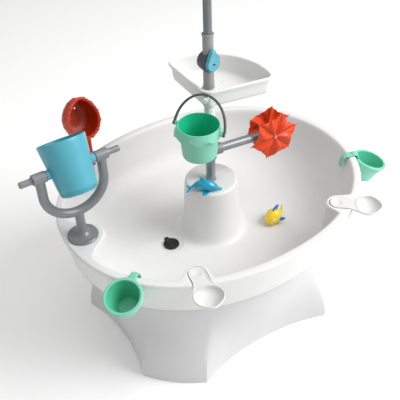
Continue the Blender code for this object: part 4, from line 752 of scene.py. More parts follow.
def build_sleeve():
    pole_r = 0.01205
    sleeve = make("upper_sleeve", [turned([
        (0, 0.8290), (pole_r, 0.8290, 0), (pole_r, 0.9820, 0.0006), (0.0148, 0.9820, 0.0008), (0.0172, 0.9808, 0.001),
        (0.0172, 0.9762, 0.0012), (0.0156, 0.9748, 0.001), (0.01525, 0.9700, 0.002), (0.01525, 0.8450, 0.010),
        (0.0159, 0.8190, 0.0008), (0.0125, 0.8190, 0.0004), (0.0125, 0.7680, 0.001), (0, 0.7680)], 80)])
    show(sleeve, "rain_tray", "mast_sleeve", SLEEVE)
    flute = make("pole_tube", [tube_shape([
        (0.01175, 0.8300, 0.0004), (0.01175, 1.2000, 0.0005), (0.0104, 1.2000, 0.0004), (0.0104, 0.8300, 0.0004)], 80)])
    for vert in flute.data.vertices:
        far = math.hypot(vert.co.x, vert.co.y)
        if far > 0.0112:
            angle = math.atan2(vert.co.y, vert.co.x)
            dip = 1 - 0.0009 / 0.01175 * max(0.0, math.cos(angle * 8)) ** 6
            vert.co.x *= dip
            vert.co.y *= dip
    show(flute, "pole", "mast_upper", DARK_TUBE)


CLAMP_Z = 0.900
CLAMP_FRONT, CLAMP_BACK = -0.0170, 0.0160


def build_clamp():
    front = frame_at((0, CLAMP_FRONT, CLAMP_Z), x_way=(1, 0, 0), z_way=(0, -1, 0))
    depth = CLAMP_BACK - CLAMP_FRONT
    disc = turned([(0, -depth), (0.0270, -depth, 0.001), (0.0285, -depth + 0.003, 0.002), (0.0285, -0.0030, 0.002),
                   (0.0268, -0.0008, 0.001), (0.0235, -0.0008, 0.0006), (0.0230, 0.0, 0.0006), (0, 0.0)])
    housing = make("clamp_disc", [moved(disc, front)])
    carve(housing, [rod(0.01555, (0, 0, CLAMP_Z - 0.05), (0, 0, CLAMP_Z + 0.05), 64),
                    moved(rod(0.0024, (0, 0, -0.001), (0, 0, 0.01), 20), front)])
    show(housing, "rain_tray", "clamp_housing", CHARCOAL)

    big, small, rise, thick = 0.0220, 0.0090, 0.0340, 0.0120
    lean = math.asin((big - small) / rise)
    outline = arc((0, 0), big, math.pi - lean, TAU + lean, 60) + arc((0, rise), small, lean, math.pi - lean, 24)
    up = frame_at((0, CLAMP_FRONT - 0.0003, CLAMP_Z), x_way=(1, 0, 0), z_way=(0, -1, 0))
    up = up @ Matrix.Rotation(0.0, 4, "Z")
    pts = np.array(outline)
    centre = np.array((0.0, 0.008))
    rings = []
    for shrink, z in soften([(0.93, 0.0, 0), (1.0, 0.0014, 0.0010), (1.0, 0.0080, 0.002), (0.86, thick, 0.003),
                             (0.60, thick - 0.0006, 0.1), (0.30, thick - 0.0009, 0)], 5):
        rings.append([(x, y, z) for x, y in centre + (pts - centre) * shrink])
    knob = make("clamp_lever", [moved(skin(rings), up)])
    carve(knob, [moved(rod(0.0029, (0, 0, -0.01), (0, 0, 0.02), 28), up),
                 moved(turned([(0, 0.0100), (0.0036, 0.0100), (0.0044, 0.0122), (0.0044, 0.02), (0, 0.02)], 28), up)])
    show(knob, "clamp_knob", "clamp_knob", KNOB)

    screw = make("clamp_screw_head", [moved(turned([
        (0, 0.0112), (0.0016, 0.0112, 0.0004), (0.0024, 0.0106, 0.0004), (0.0024, 0.0100, 0.0002), (0.0021, 0.0098),
        (0.0021, -0.0008), (0, -0.0008)], 32), up)])
    show(screw, "rain_tray", "clamp_screw", RUBBER)


# ------------------------------------------------------------------ yoke and tipping bucket

YOKE_AT = Vector((-0.4315, 0.0120, 0.0))
TIP_AXIS = 0.725
YOKE_SPAN, YOKE_BEND = 0.0890, 0.6600
YOKE_TUBE = 0.0135
BOSS_IN, BOSS_OUT = 0.0705, 0.1085
BUCKET_TILT = math.radians(-32.0)


def build_yoke():
    foot = RIM_TOP + 0.0003
    stem_top = YOKE_BEND - YOKE_SPAN
    stem = turned([(0, stem_top), (YOKE_TUBE, stem_top, 0), (0.0133, foot + 0.036, 0.02), (0.0152, foot + 0.018, 0.02),
                   (0.0300, foot + 0.0095, 0.02), (0.0425, foot + 0.0060, 0.004), (0.0450, foot + 0.0026, 0.002),
                   (0.0450, foot, 0.0006), (0, foot)], 80)
    bend = [(x, 0, z) for x, z in arc((0, YOKE_BEND), YOKE_SPAN, math.pi, TAU, 40)]
    rise = [(YOKE_SPAN, 0, z) for z in np.linspace(YOKE_BEND, TIP_AXIS, 8)[1:]]
    path = [(-x, y, z) for x, y, z in reversed(rise)] + bend + rise
    fork = sweep(path, oval(YOKE_TUBE, YOKE_TUBE, 28), side=(0, 1, 0))
    shapes = [stem, fork]
    for sign in (-1, 1):
        shapes.append(rod(0.0155, (sign * BOSS_IN, 0, TIP_AXIS), (sign * BOSS_OUT, 0, TIP_AXIS), 48, 0.0016))
    place = Matrix.Translation(YOKE_AT)
    yoke = make("yoke_frame", [moved(s, place) for s in shapes])
    melt(yoke, 0.0013, 5)
    base = YOKE_AT + Vector((0, 0, TIP_AXIS))
    carve(yoke, [rod(0.0069, base - Vector((0.15, 0, 0)), base + Vector((0.15, 0, 0)), 32),
                 rod(0.0600, YOKE_AT + Vector((0, 0, foot - 0.02)), YOKE_AT + Vector((0, 0, foot)), 48),
                 rod(0.0033, YOKE_AT + Vector((0, 0, foot - 0.01)), YOKE_AT + Vector((0, 0, foot + 0.02)), 20)])
    show(yoke, "table", "yoke", GREY, 45)


def build_tipping_bucket():
    half, top_r, foot_r, wall = 0.0740, 0.0665, 0.0525, 0.0030
    tilt = Matrix.Translation(YOKE_AT + Vector((0, 0, TIP_AXIS))) @ Matrix.Rotation(BUCKET_TILT, 4, "X")
    body = turned([
        (0, -half + wall), (foot_r - 0.012, -half + wall, 0.006), (foot_r - wall, -half + 0.016, 0.012),
        (top_r - wall, half - 0.006, 0.01), (top_r - wall, half, 0.0010), (top_r, half, 0.0010),
        (top_r + 0.0, half - 0.0070, 0.002), (foot_r + 0.0004, -half + 0.018, 0.02), (foot_r - 0.0030, -half, 0.0105),
        (0, -half + 0.0004)], 96)
    bucket = make("tip_bucket", [moved(body, tilt)])
    extras = []
    for sign in (-1, 1):
        extras.append(moved(rod(0.0135, (sign * 0.0575, 0, 0), (sign * 0.0700, 0, 0), 40, 0.0012), tilt))
        extras.append(moved(rod(0.0066, (sign * 0.0600, 0, 0), (sign * 0.0877, 0, 0), 28, 0.0005), tilt))
    carve(bucket, extras, "UNION")

    # Painted shade: the bucket's inner faces take the darker inner blue.
    def inside(co):
        local = co @ np.array(tilt.to_3x3()) - np.array(tilt.translation) @ np.array(tilt.to_3x3())
        far = np.hypot(local[:, 0], local[:, 1])
        wall_r = foot_r + (top_r - foot_r) * (local[:, 2] + half) / (2 * half)
        return np.where((far < wall_r - 0.0016) & (local[:, 2] > -half + 0.002), 1.0, 0.0)

    show(bucket, "tipping_bucket", "tipping_bucket", SKY, 40, inside)
    for name, node, sign in (("peg_left", "pivot_knob_left", -1), ("peg_right", "pivot_knob_right", 1)):
        end, flange = 0.1445, BOSS_OUT + 0.0003
        peg = turned([(0, end), (0.0090, end, 0.0085), (0.0090, end - 0.012, 0.004), (0.0086, flange + 0.0060, 0.002),
                      (0.0100, flange + 0.0030, 0.001), (0.0105, flange, 0.0004), (0.0066, flange, 0.0002),
                      (0.0066, 0.0885, 0.0006), (0, 0.0885)])
        place = Matrix.Translation(YOKE_AT + Vector((0, 0, TIP_AXIS))) @ frame_at((0, 0, 0), z_way=(sign, 0, 0))
        show(make(name, [moved(peg, place)]), "tipping_bucket", node, GREY)


# ------------------------------------------------------------------ hanging bucket

BUCKET_AT = Vector((-0.0685, -0.0494, 0.7335))
BAIL_TURN = math.radians(-60.0)
BAIL_SPAN, BAIL_RISE, BAIL_LEAN = 0.0772, 0.0811, 0.0479


def build_hanging_bucket():
    rim, foot = 0.0145, -0.0885
    count = 192
    angles = np.array([TAU * k / count for k in range(count)])
    place = Matrix.Translation(BUCKET_AT) @ Matrix.Rotation(BAIL_TURN, 4, "Z")

    def near(middle, width):
        off = (angles - math.radians(middle) + math.pi) % TAU - math.pi
        return np.exp(-0.5 * (off / math.radians(width)) ** 2)

    spout, heel = near(215.0, 17.0), near(35.0, 15.0)
    ears = near(0.0, 9.0) + near(180.0, 9.0)
    wave = 0.5 + 0.5 * np.cos((angles + math.radians(63.0)) * 8)
    flare = 0.0060 * spout + 0.0020 * heel
    hem = -0.0205 - 0.0125 * wave ** 0.8 - 0.0020 * spout
    zero = np.zeros(count)
    line = [
        (zero, foot + 0.0030 + zero, 0), (0.0400 + zero, foot + 0.0030 + zero, 0.008),
        (0.0478 + zero, foot + 0.0100 + zero, 0.006), (0.0518 + zero, -0.020 + zero, 0.02),
        (0.0562 + zero, rim - 0.0040 + zero, 0.006), (0.0567 + zero, rim + zero, 0.0016),
        (0.0600 + zero, rim + zero, 0.0018), (0.0604 + 0.3 * flare, rim - 0.0040 + zero, 0.003),
        (0.0634 + flare, rim - 0.0140 + zero, 0.01), (0.0665 + flare - 0.0016 * wave, rim + hem, 0.001),
        (0.0645 + flare * 0.9 - 0.0016 * wave, rim + hem + 0.0004, 0.0008), (0.0585 + flare * 0.5, rim - 0.0100 + zero, 0.004),
        (0.0548 + zero, rim - 0.0200 + zero, 0.008), (0.0505 + zero, foot + 0.0140 + zero, 0.012),
        (0.0492 + zero, foot + zero, 0.0085), (0.0380 + zero, foot + zero, 0.001), (0.0370 + zero, foot + 0.0010 + zero, 0.001),
        (zero, foot + 0.0010 + zero, 0)]
    columns = np.array([soften([(r[k], z[k], bend) for r, z, bend in line], 4) for k in range(count)])
    rings = []
    for step in range(columns.shape[1]):
        r, z = columns[:, step, 0], columns[:, step, 1]
        if r.max() < 1e-7:
            rings.append([(0, 0, z[0])])
        else:
            rings.append(np.stack([r * np.cos(angles), r * np.sin(angles), z], 1))
    bucket = make("mint_bucket", [moved(skin(rings), place)])
    extras = []
    for sign in (-1, 1):
        extras.append(moved(rod(0.0064, (sign * 0.0560, 0, 0), (sign * 0.0740, 0, 0), 32, 0.001), place))
        extras.append(moved(turned([(0, 0.0700), (0.0028, 0.0700), (0.0028, 0.0806, 0.0002), (0.0046, 0.0808, 0.0004),
                                    (0.0040, 0.0822, 0.0008), (0, 0.0824)], 32),
                            place @ frame_at((0, 0, 0), z_way=(sign, 0, 0))))
    carve(bucket, extras, "UNION")

    # Painted shade: the bucket's inner faces take the deeper inner green.
    def inside(co):
        flat = co - np.array(BUCKET_AT)
        far = np.hypot(flat[:, 0], flat[:, 1])
        wall_r = np.interp(flat[:, 2], [foot, foot + 0.01, -0.02, rim], [0.0485, 0.0487, 0.0530, 0.0580])
        return np.where((far < wall_r) & (flat[:, 2] > foot + 0.002), 1.0, 0.0)

    show(bucket, "hanging_bucket", "hanging_bucket", MINT, 42, inside)


def build_bail():
    lean, height = math.atan2(BAIL_LEAN, BAIL_RISE), math.hypot(BAIL_LEAN, BAIL_RISE)
    upright = Matrix(((1, 0, 0, 0), (0, 0, -1, 0), (0, 1, 0, 0), (0, 0, 0, 1)))
    place = Matrix.Translation(BUCKET_AT) @ Matrix.Rotation(BAIL_TURN, 4, "Z") @ Matrix.Rotation(-lean, 4, "X") @ upright
    path = [(BAIL_SPAN * math.cos(a), height * math.sin(a), 0) for a in np.linspace(0, math.pi, 73)]

    def section(k):
        share = abs(k / 72 - 0.5) * 2
        width = 0.0046 - 0.0006 * max(0.0, 1 - share * 5) + 0.0006 * max(0.0, share * 6 - 5)
        return oval(width, 0.0033, 20, 3.4)

    shapes = [sweep(path, lambda k: [(v, u) for u, v in section(k)], side=(0, 0, 1))]
    for sign in (-1, 1):
        way = frame_at((sign * (BAIL_SPAN - 0.00225), 0, 0), z_way=(sign, 0, 0))
        shapes.append(moved(turned([(0, 0), (0.0066, 0, 0.0008), (0.0066, 0.0045, 0.0008), (0, 0.0045)], 40), way))
    bail = make("bucket_handle", [moved(s, place) for s in shapes])
    melt(bail, 0.0007, 3)
    ends = [place @ Vector((sign * 0.1, 0, 0)) for sign in (-1, 1)]
    carve(bail, [rod(0.0031, *ends, 24)])
    show(bail, "bail", "bucket_bail", BAIL, 50)


# ------------------------------------------------------------------ cups

CUPS = {"cup_front": (-151.0, 0.0530, 0.480, 19.0), "cup_right": (-18.0, 0.0550, 0.452, 18.0)}


def build_cup(node):
    place_deg, reach, mouth_z, tilt_deg = CUPS[node]
    place, tilt = math.radians(place_deg), math.radians(tilt_deg)
    hang = frame_at(polar(float(rim_radius(place)), place, RIM_TOP), x_way=rim_way(place))
    mouth = hang @ Matrix.Translation((reach, 0, mouth_z - RIM_TOP)) @ Matrix.Rotation(tilt, 4, "Y")
    r, deep = 0.0550, 0.0720
    body = turned([
        (0, -deep + 0.0025), (0.0240, -deep + 0.0025, 0.004), (0.0278, -deep + 0.0060, 0.004),
        (r - 0.0155, -0.0200, 0.010), (r - 0.0115, -0.0060, 0.005), (r - 0.0100, 0.0004, 0.0028),
        (r, 0.0004, 0.0042), (r + 0.0, -0.0080, 0.0036), (r - 0.0050, -0.0088, 0.0010), (r - 0.0052, -0.0140, 0.0014),
        (r - 0.0082, -0.0150, 0.0010), (r - 0.0086, -0.0215, 0.0014), (r - 0.0112, -0.0226, 0.0010),
        (0.0310, -deep + 0.0050, 0.004), (0.0282, -deep, 0.0025), (0.0230, -deep, 0.001),
        (0.0220, -deep + 0.0010, 0.001), (0, -deep + 0.0010)], 96)
    cup = make(node + "_shell", [moved(body, mouth)])
    edge_x = reach - (r - 0.0050) * math.cos(tilt)
    edge_z = mouth_z - RIM_TOP + (r - 0.0050) * math.sin(tilt) - 0.0030
    line = [(edge_x + 0.0030, edge_z - 0.0014), (0.0062, max(edge_z - 0.0026, 0.0014)), (-0.0030, 0.0062),
            (-0.0120, 0.0032), (-0.0245, 0.0034), (-0.0345, 0.0002), (-0.0400, -0.0080), (-0.0440, -0.0200),
            (-0.0475, -0.0360)]
    path = smooth_path([(x, 0, z) for x, z in line], 90)

    def section(k):
        share = k / 89
        rib = 0.0013 * max(0.0, math.sin(share * 62)) ** 0.7 if 0.30 < share < 0.97 else 0.0
        end = min(1.0, (1 - share) * 14 + 0.35)
        wide = (0.0112 + 0.0040 * max(0.0, 1 - share * 5)) * end
        return [(x, z + (rib if z > 0 and abs(x) < wide * 0.72 else 0.0))
                for x, z in oval(wide, 0.0024, 36, 3.6)]

    strap = sweep(path, section, side=(0.3, 0, 1))
    handle = make("strap", [moved(strap, hang)])
    plug = moved(turned([(0, -0.020), (r - 0.0135, -0.013), (r - 0.0110, -0.004), (r - 0.0090, 0.02), (0, 0.02)], 96), mouth)
    carve(handle, [plug])
    join = handle.data
    extra = ([tuple(v.co) for v in join.vertices], [list(p.vertices) for p in join.polygons])
    bpy.data.objects.remove(handle, do_unlink=True)
    carve(cup, [extra], "UNION")

    # Painted shade: the cup's inner faces take the deeper inner green.
    def inside(co):
        back = np.array(mouth.inverted())
        local = co @ back[:3, :3].T + back[:3, 3]
        far = np.hypot(local[:, 0], local[:, 1])
        wall_r = np.interp(local[:, 2], [-deep, -deep + 0.006, -0.019, -0.006, 0.0],
                           [0.0260, 0.0292, r - 0.0140, r - 0.0105, r - 0.0090])
        return np.where((far < wall_r) & (local[:, 2] > -deep + 0.0016), 1.0, 0.0)

    show(cup, node, node, MINT_CUP, 42, inside)


# ------------------------------------------------------------------ scoop

SCOOP_TAIL = Vector((-0.2500, 0.3080, 0.4800))
SCOOP_UP = Vector((0.075, 0.385, 0.911)).normalized()
SCOOP_LENGTH = 0.206
SCOOP_DEPTH = 0.0660
SCOOP_START = 0.38


def scoop_half(share):
    t = max((share - SCOOP_START) / (1 - SCOOP_START), 0.0)
    return 0.0080 * (1 - t) + 0.0520 * max(math.sin(math.pi * t ** 0.92), 0.0) ** 0.55


def scoop_outline(count):
    right = []
    for k in range(1, 40):
        share = SCOOP_START + (1 - SCOOP_START) * (0.5 - 0.5 * math.cos(math.pi * k / 40))
        right.append((scoop_half(share), SCOOP_LENGTH * share))
    start, end = (0.0, SCOOP_LENGTH * SCOOP_START), (0.0, SCOOP_LENGTH)
    pts = np.array([start] + right + [end] + [(-x, y) for x, y in reversed(right)] + [start])
    run = np.concatenate([[0], np.cumsum(np.linalg.norm(np.diff(pts, axis=0), axis=1))])
    at = np.linspace(0, run[-1], count, endpoint=False)
    return np.stack([np.interp(at, run, pts[:, 0]), np.interp(at, run, pts[:, 1])], 1)


def build_scoop():
    side = polar(1.0, math.radians(12.0))
    side = (side - SCOOP_UP * side.dot(SCOOP_UP)).normalized()
    place = frame_at(SCOOP_TAIL, x_way=side, z_way=side.cross(SCOOP_UP))
    outline = scoop_outline(180)
    centre = np.array((0.0, SCOOP_LENGTH * 0.70))
    deep, wall = SCOOP_DEPTH, 0.0022
    swirl = np.arctan2(outline[:, 1] - centre[1], outline[:, 0] - centre[0])

    def ring(shrink, depth, ridge=0.0):
        bump = 1 + ridge * np.maximum(0, np.cos(swirl * 16)) ** 3
        pts = centre + (outline - centre) * shrink * bump[:, None]
        return [(x, y, depth) for x, y in pts]

    line = [(0.985, -0.0010, 0), (1.000, -deep * 0.20, 0.02), (1.020, -deep * 0.50, 0.05), (0.860, -deep * 0.88, 0.12),
            (0.560, -deep, 0.12), (0.0, -deep, 0)]
    outer = [(s, d) for s, d in soften(line, 6)]
    rings = [ring(s, d, 0.020 if -deep * 0.95 < d < -0.006 else 0.0) for s, d in outer[:-1]] + [[(*centre, -deep)]]
    inner = [(max(s - 0.045, 0.0), d + wall * min(1.0, -d / 0.01)) for s, d in outer]
    rings += [[(*centre, -deep + wall)]] + [ring(s, d) for s, d in reversed(inner[:-1])]
    scoop = make("scoop_basket", [moved(skin(rings, wrap=True), place)])

    path = [Vector((x, y, 0.0)) for x, y in outline]
    twist = 30

    def rope(k):
        points = []
        for j in range(20):
            a = TAU * j / 20
            r = 0.0049 + 0.0007 * math.cos(3 * a + TAU * twist * k / 180)
            points.append((r * math.cos(a), r * math.sin(a)))
        return points

    shapes = [sweep(path, rope, side=(0, 0, 1), closed=True)]
    for j in range(12):
        k = int(round(180 * (j + 0.5) / 12)) % 180
        way = (path[(k + 1) % 180] - path[k - 1]).normalized()
        band = turned([(0, -0.0030), (0.0062, -0.0030, 0.0006), (0.0070, -0.0014, 0.0008), (0.0070, 0.0014, 0.0008),
                       (0.0062, 0.0030, 0.0006), (0, 0.0030)], 28)
        shapes.append(moved(band, frame_at(path[k], z_way=way)))
    tail = []
    for k in range(121):
        s = -0.0140 + (0.0790 + 0.0140) * k / 120
        ridge = 0.0007 * max(0.0, math.sin(k * 0.72)) if 0.04 < k / 120 < 0.90 else 0.0
        end = math.sqrt(max(1 - (1 - min(k / 9, 1.0)) ** 2, 0.02))
        flare = 0.0038 * max(0.0, (s - 0.035) / 0.044) ** 1.5
        tail.append(((0.0056 + flare + ridge) * end, s))
    shapes.append(moved(turned([(0, tail[0][1])] + tail + [(0, tail[-1][1])], 28), frame_at((0, 0, 0), z_way=(0, 1, 0))))
    rim = make("rope", [moved(s, place) for s in shapes])
    melt(rim, 0.0008, 1, 0.35)
    rim_shape = ([tuple(v.co) for v in rim.data.vertices], [list(p.vertices) for p in rim.data.polygons])
    bpy.data.objects.remove(rim, do_unlink=True)
    carve(scoop, [rim_shape], "UNION")
    holes = []
    for k in range(5):
        angle = math.pi * (0.35 + 0.8 * k / 4)
        x, y = centre[0] + 0.028 * math.cos(angle), centre[1] + 0.028 * math.sin(angle)
        holes.append(moved(rod(0.0030, (x, y, -0.09), (x, y, -0.04), 20), place))
    carve(scoop, holes)

    # Painted shade: the basket turns a darker red the deeper it goes inside.
    def inside(co):
        back = np.array(place.inverted())
        local = co @ back[:3, :3].T + back[:3, 3]
        return np.clip((-local[:, 2] - 0.003) / 0.02, 0, 1) * 0.6

    show(scoop, "scoop", "scoop", RED, 45, inside)


# ------------------------------------------------------------------ spoon launchers

PIN_AT, PIN_Z = 0.0340, 0.4620
BOWL_AT, BOWL_HALF, BOWL_WIDE, SPOON_TIP = 0.0890, 0.0370, 0.0425, 0.1310
HANDLE_R = 0.0225
HANDLE_WIDE = 0.0242


def spoon_outline(scale, steps=96):
    points = []
    for k in range(steps):
        a = TAU * k / steps
        length = BOWL_HALF + (SPOON_TIP - BOWL_AT - BOWL_HALF) * max(math.cos(a), 0.0) ** 8
        points.append((BOWL_AT + length * scale * math.cos(a), BOWL_WIDE * scale * math.sin(a)))
    return points


def spoon_edge():
    """The whole spoon seen from above: round handle, flared neck, bowl and pouring tip."""
    upper = [(0.0, HANDLE_WIDE), (0.022, 0.0236), (0.037, 0.0246), (0.049, 0.0288), (0.062, 0.0354), (0.073, 0.0402)]
    bowl = [p for p in spoon_outline(1.0, 48) if p[0] > 0.0800]
    half = [p for p in bowl if p[1] >= 0]
    half = upper + sorted(half, key=lambda p: p[0])
    end = arc((0, 0), HANDLE_R, math.pi, math.pi / 2, 10)[:-1]
    loop = [(x, y * HANDLE_WIDE / HANDLE_R) for x, y in end] + half
    path = smooth_path([(x, y, 0) for x, y in loop], 110)
    pts = [(p.x, max(p.y, 0.0)) for p in path]
    return pts[:-1] + [(x, -y) for x, y in reversed(pts[1:])]


def inward(pts, inset):
    """The outline drawn in by inset along its own normals."""
    way = np.roll(pts, -1, 0) - np.roll(pts, 1, 0)
    way /= np.maximum(np.linalg.norm(way, axis=1), 1e-9)[:, None]
    normal = np.stack([way[:, 1], -way[:, 0]], 1)
    middle = pts - pts.mean(axis=0)
    if np.sum(normal * middle) < 0:
        normal = -normal
    return pts - normal * inset


def spoon_shape(line):
    rings = []
    for scale, z in soften(line, 4):
        if scale < 1e-6:
            rings.append([(BOWL_AT, 0, z)])
        else:
            rings.append([(x, y, z) for x, y in spoon_outline(scale)])
    return skin(rings)


def build_launcher(key):
    name = "launcher_" + key
    place = launcher_frame(key)
    top = RIM_TOP
    edge = np.array(spoon_edge())
    rings = []
    for inset, z in soften([(0.008, top - 0.0062, 0), (0.0008, top - 0.0062, 0.0010), (0.0, top - 0.0045, 0.0010),
                            (0.0, top + 0.0014, 0.0010), (0.0032, top + 0.0014, 0.0008), (0.0042, top - 0.0002, 0.001),
                            (0.0100, top, 0)], 4):
        rings.append([(x, y, z) for x, y in inward(edge, inset)])
    plate = skin(rings)
    bowl = spoon_shape([(0, top + 0.0016, 0), (0.99, top + 0.0016, 0.04), (1.0, top - 0.0030, 0.003),
                        (0.94, top - 0.0080, 0.01), (0.74, top - 0.0170, 0.05), (0.40, top - 0.0222, 0.1),
                        (0, top - 0.0228, 0)])
    boss = slab([(PIN_AT - 0.007, -0.019), (PIN_AT + 0.007, -0.019), (PIN_AT + 0.007, 0.019), (PIN_AT - 0.007, 0.019)],
                PIN_Z - 0.006, top - 0.003, 0.0012)
    spoon = make(name + "_spoon", [moved(s, place) for s in (plate, bowl, boss)])
    melt(spoon, 0.00095, 5)
    hollow = spoon_shape([(0, top + 0.0100, 0), (0.960, top + 0.0100, 0), (0.960, top + 0.0020, 0.002),
                          (0.925, top - 0.0005, 0.02), (0.86, top - 0.0080, 0.02), (0.68, top - 0.0146, 0.08),
                          (0.36, top - 0.0198, 0.12), (0, top - 0.0200, 0)])
    ball = []
    for k in range(1, 24):
        a = math.pi * k / 24
        ball.append((0.0430 * math.sin(a), top + 0.0400 - 0.0430 * math.cos(a)))
    dimple = turned([(0, top - 0.0030)] + ball + [(0, top + 0.0830)], 64)
    bore = rod(0.0031, (PIN_AT, -0.03, PIN_Z), (PIN_AT, 0.03, PIN_Z), 24)
    carve(spoon, [moved(s, place) for s in (hollow, dimple, bore)])
    show(spoon, name, name, WHITE_SPOON_SHADED, 40)
    pin = moved(rod(0.0028, (PIN_AT, -0.033, PIN_Z), (PIN_AT, 0.033, PIN_Z), 24, 0.0005), place)
    show(make("pin_" + key, [pin]), "table", "launcher_pin_" + key, STEEL)


# ------------------------------------------------------------------ bath toys and plug

def spindle(stations, nose, tail, count=40, steps=7):
    """A soft body along X: each station is (x, height, half width, half height)."""
    rows = [(nose[0], nose[1], 1e-4, 1e-4), *stations, (tail[0], tail[1], 1e-4, 1e-4)]
    dense = smooth_rows(np.array(rows), steps)
    rings = [[(nose[0], 0, nose[1])]]
    for x, z, wide, tall in dense[1:-1]:
        rings.append([(x, max(wide, 2e-4) * math.cos(TAU * k / count), z + max(tall, 2e-4) * math.sin(TAU * k / count))
                      for k in range(count)])
    return skin(rings + [[(tail[0], 0, tail[1])]])


def smooth_rows(rows, steps):
    padded = np.vstack([2 * rows[0] - rows[1], rows, 2 * rows[-1] - rows[-2]])
    out = []
    for k in range(1, len(padded) - 2):
        a, b, c, d = padded[k - 1:k + 3]
        for i in range(steps):
            t = i / steps
            out.append(0.5 * (2 * b + (c - a) * t + (2 * a - 5 * b + 4 * c - d) * t * t
                              + (3 * b - a - 3 * c + d) * t ** 3))
    return out + [rows[-1]]


def fin_plate(outline, thick, place):
    """A fin from a smooth closed outline in its own XY."""
    loop = list(outline) + [outline[0]]
    path = smooth_path([(x, y, 0) for x, y in loop], 60)[:-1]
    return moved(slab([(p.x, p.y) for p in path], -thick / 2, thick / 2, thick * 0.3), place)


UPRIGHT = Matrix.Rotation(math.pi / 2, 4, "X")


def build_dolphin():
    place = Matrix.Translation((-0.0490, -0.0360, PEDESTAL_TOP + 0.0003)) @ Matrix.Rotation(math.radians(-33), 4, "Z")
    body = spindle([
        (-0.0430, 0.0075, 0.0035, 0.0035), (-0.0340, 0.0150, 0.0055, 0.0060), (-0.0200, 0.0205, 0.0115, 0.0125),
        (-0.0030, 0.0210, 0.0160, 0.0162), (0.0150, 0.0190, 0.0172, 0.0168), (0.0290, 0.0150, 0.0148, 0.0138),
        (0.0380, 0.0100, 0.0105, 0.0090), (0.0440, 0.0060, 0.0055, 0.0048), (0.0520, 0.0045, 0.0036, 0.0032)],
        (-0.0480, 0.0050), (0.0550, 0.0042))
    shapes = [body]
    shapes.append(fin_plate([(-0.0080, 0.0300), (0.0120, 0.0300), (0.0020, 0.0420), (-0.0120, 0.0540),
                             (-0.0110, 0.0420)], 0.0036, UPRIGHT))
    shapes.append(fin_plate([(-0.0400, 0.0), (-0.0440, 0.0130), (-0.0540, 0.0175), (-0.0490, 0.0),
                             (-0.0540, -0.0175), (-0.0440, -0.0130)], 0.0034, Matrix.Translation((0, 0, 0.0056))))
    for sign in (1, -1):
        shapes.append(fin_plate([(0.0180, sign * 0.006), (0.0120, sign * 0.0215), (-0.0050, sign * 0.0275),
                                 (0.0030, sign * 0.008)], 0.0032, Matrix.Translation((0, 0, 0.0019))))
    shapes.append(slab([(-0.008, -0.0085), (0.03, -0.007), (0.03, 0.007), (-0.008, 0.0085)], 0.0002, 0.010, 0.001))
    dolphin = make("dolphin_toy", [moved(s, place) for s in shapes])
    melt(dolphin, 0.0008, 5)
    show(dolphin, "dolphin", "dolphin", OCEAN, 60)


def build_fish():
    place = Matrix.Translation((0.1750, -0.1000, FLOOR + 0.0011)) @ Matrix.Rotation(math.radians(-165), 4, "Z")
    body = spindle([
        (-0.0308, 0.0210, 0.0070, 0.0084), (-0.0182, 0.0231, 0.0154, 0.0175), (0.0, 0.0252, 0.0231, 0.0249),
        (0.0168, 0.0231, 0.0210, 0.0217), (0.0294, 0.0196, 0.0140, 0.0140)], (-0.0350, 0.0210), (0.0357, 0.0175))
    tail = fin_plate([(-0.0280, 0.0168), (-0.0280, 0.0252), (-0.0440, 0.0440), (-0.0406, 0.0224),
                      (-0.0455, 0.0035)], 0.0056, UPRIGHT)
    foot = slab([(-0.014, -0.0098), (0.014, -0.0098), (0.014, 0.0098), (-0.014, 0.0098)], 0.0001, 0.014, 0.002)
    shapes = [body, tail, foot]
    eyes = []
    for sign in (1, -1):
        way = Vector((0.55, sign * 0.80, 0.25)).normalized()
        spot = Vector((0.0195, sign * 0.0150, 0.0290))
        eye = turned([(0, 0), (0.0042, 0, 0.0010), (0.0030, 0.0034, 0.0012), (0, 0.0038)], 28)
        shapes.append(moved(eye, frame_at(spot, z_way=way)))
        eyes.append(place @ (spot + way * 0.0034))
    fish = make("fish_toy", [moved(s, place) for s in shapes])
    melt(fish, 0.0009, 4)

    def eye_white(co):
        far = np.min([np.linalg.norm(co - np.array(eye), axis=1) for eye in eyes], axis=0)
        return np.where(far < 0.0034, 1.0, 0.0)

    show(fish, "fish", "fish_body", YELLOW, 60, eye_white)
    crest = make("fish_crest", [moved(fin_plate([(-0.0168, 0.0336), (0.0112, 0.0380), (0.0060, 0.0520), (-0.0060, 0.0606),
                                                 (-0.0196, 0.0580), (-0.0150, 0.0440)], 0.0050, UPRIGHT), place)])
    show(crest, "fish", "fish_fin_top", FIN)
    for side, sign in (("left", 1), ("right", -1)):
        lay = Matrix.Translation((0, 0, 0.0189))
        fin = make("fish_side_" + side, [moved(fin_plate([
            (0.0084, sign * 0.0154), (-0.0084, sign * 0.0154), (-0.0190, sign * 0.0310), (-0.0120, sign * 0.0330),
            (-0.0028, sign * 0.0300)], 0.0042, lay), place)])
        show(fin, "fish", "fish_fin_" + side, FIN)


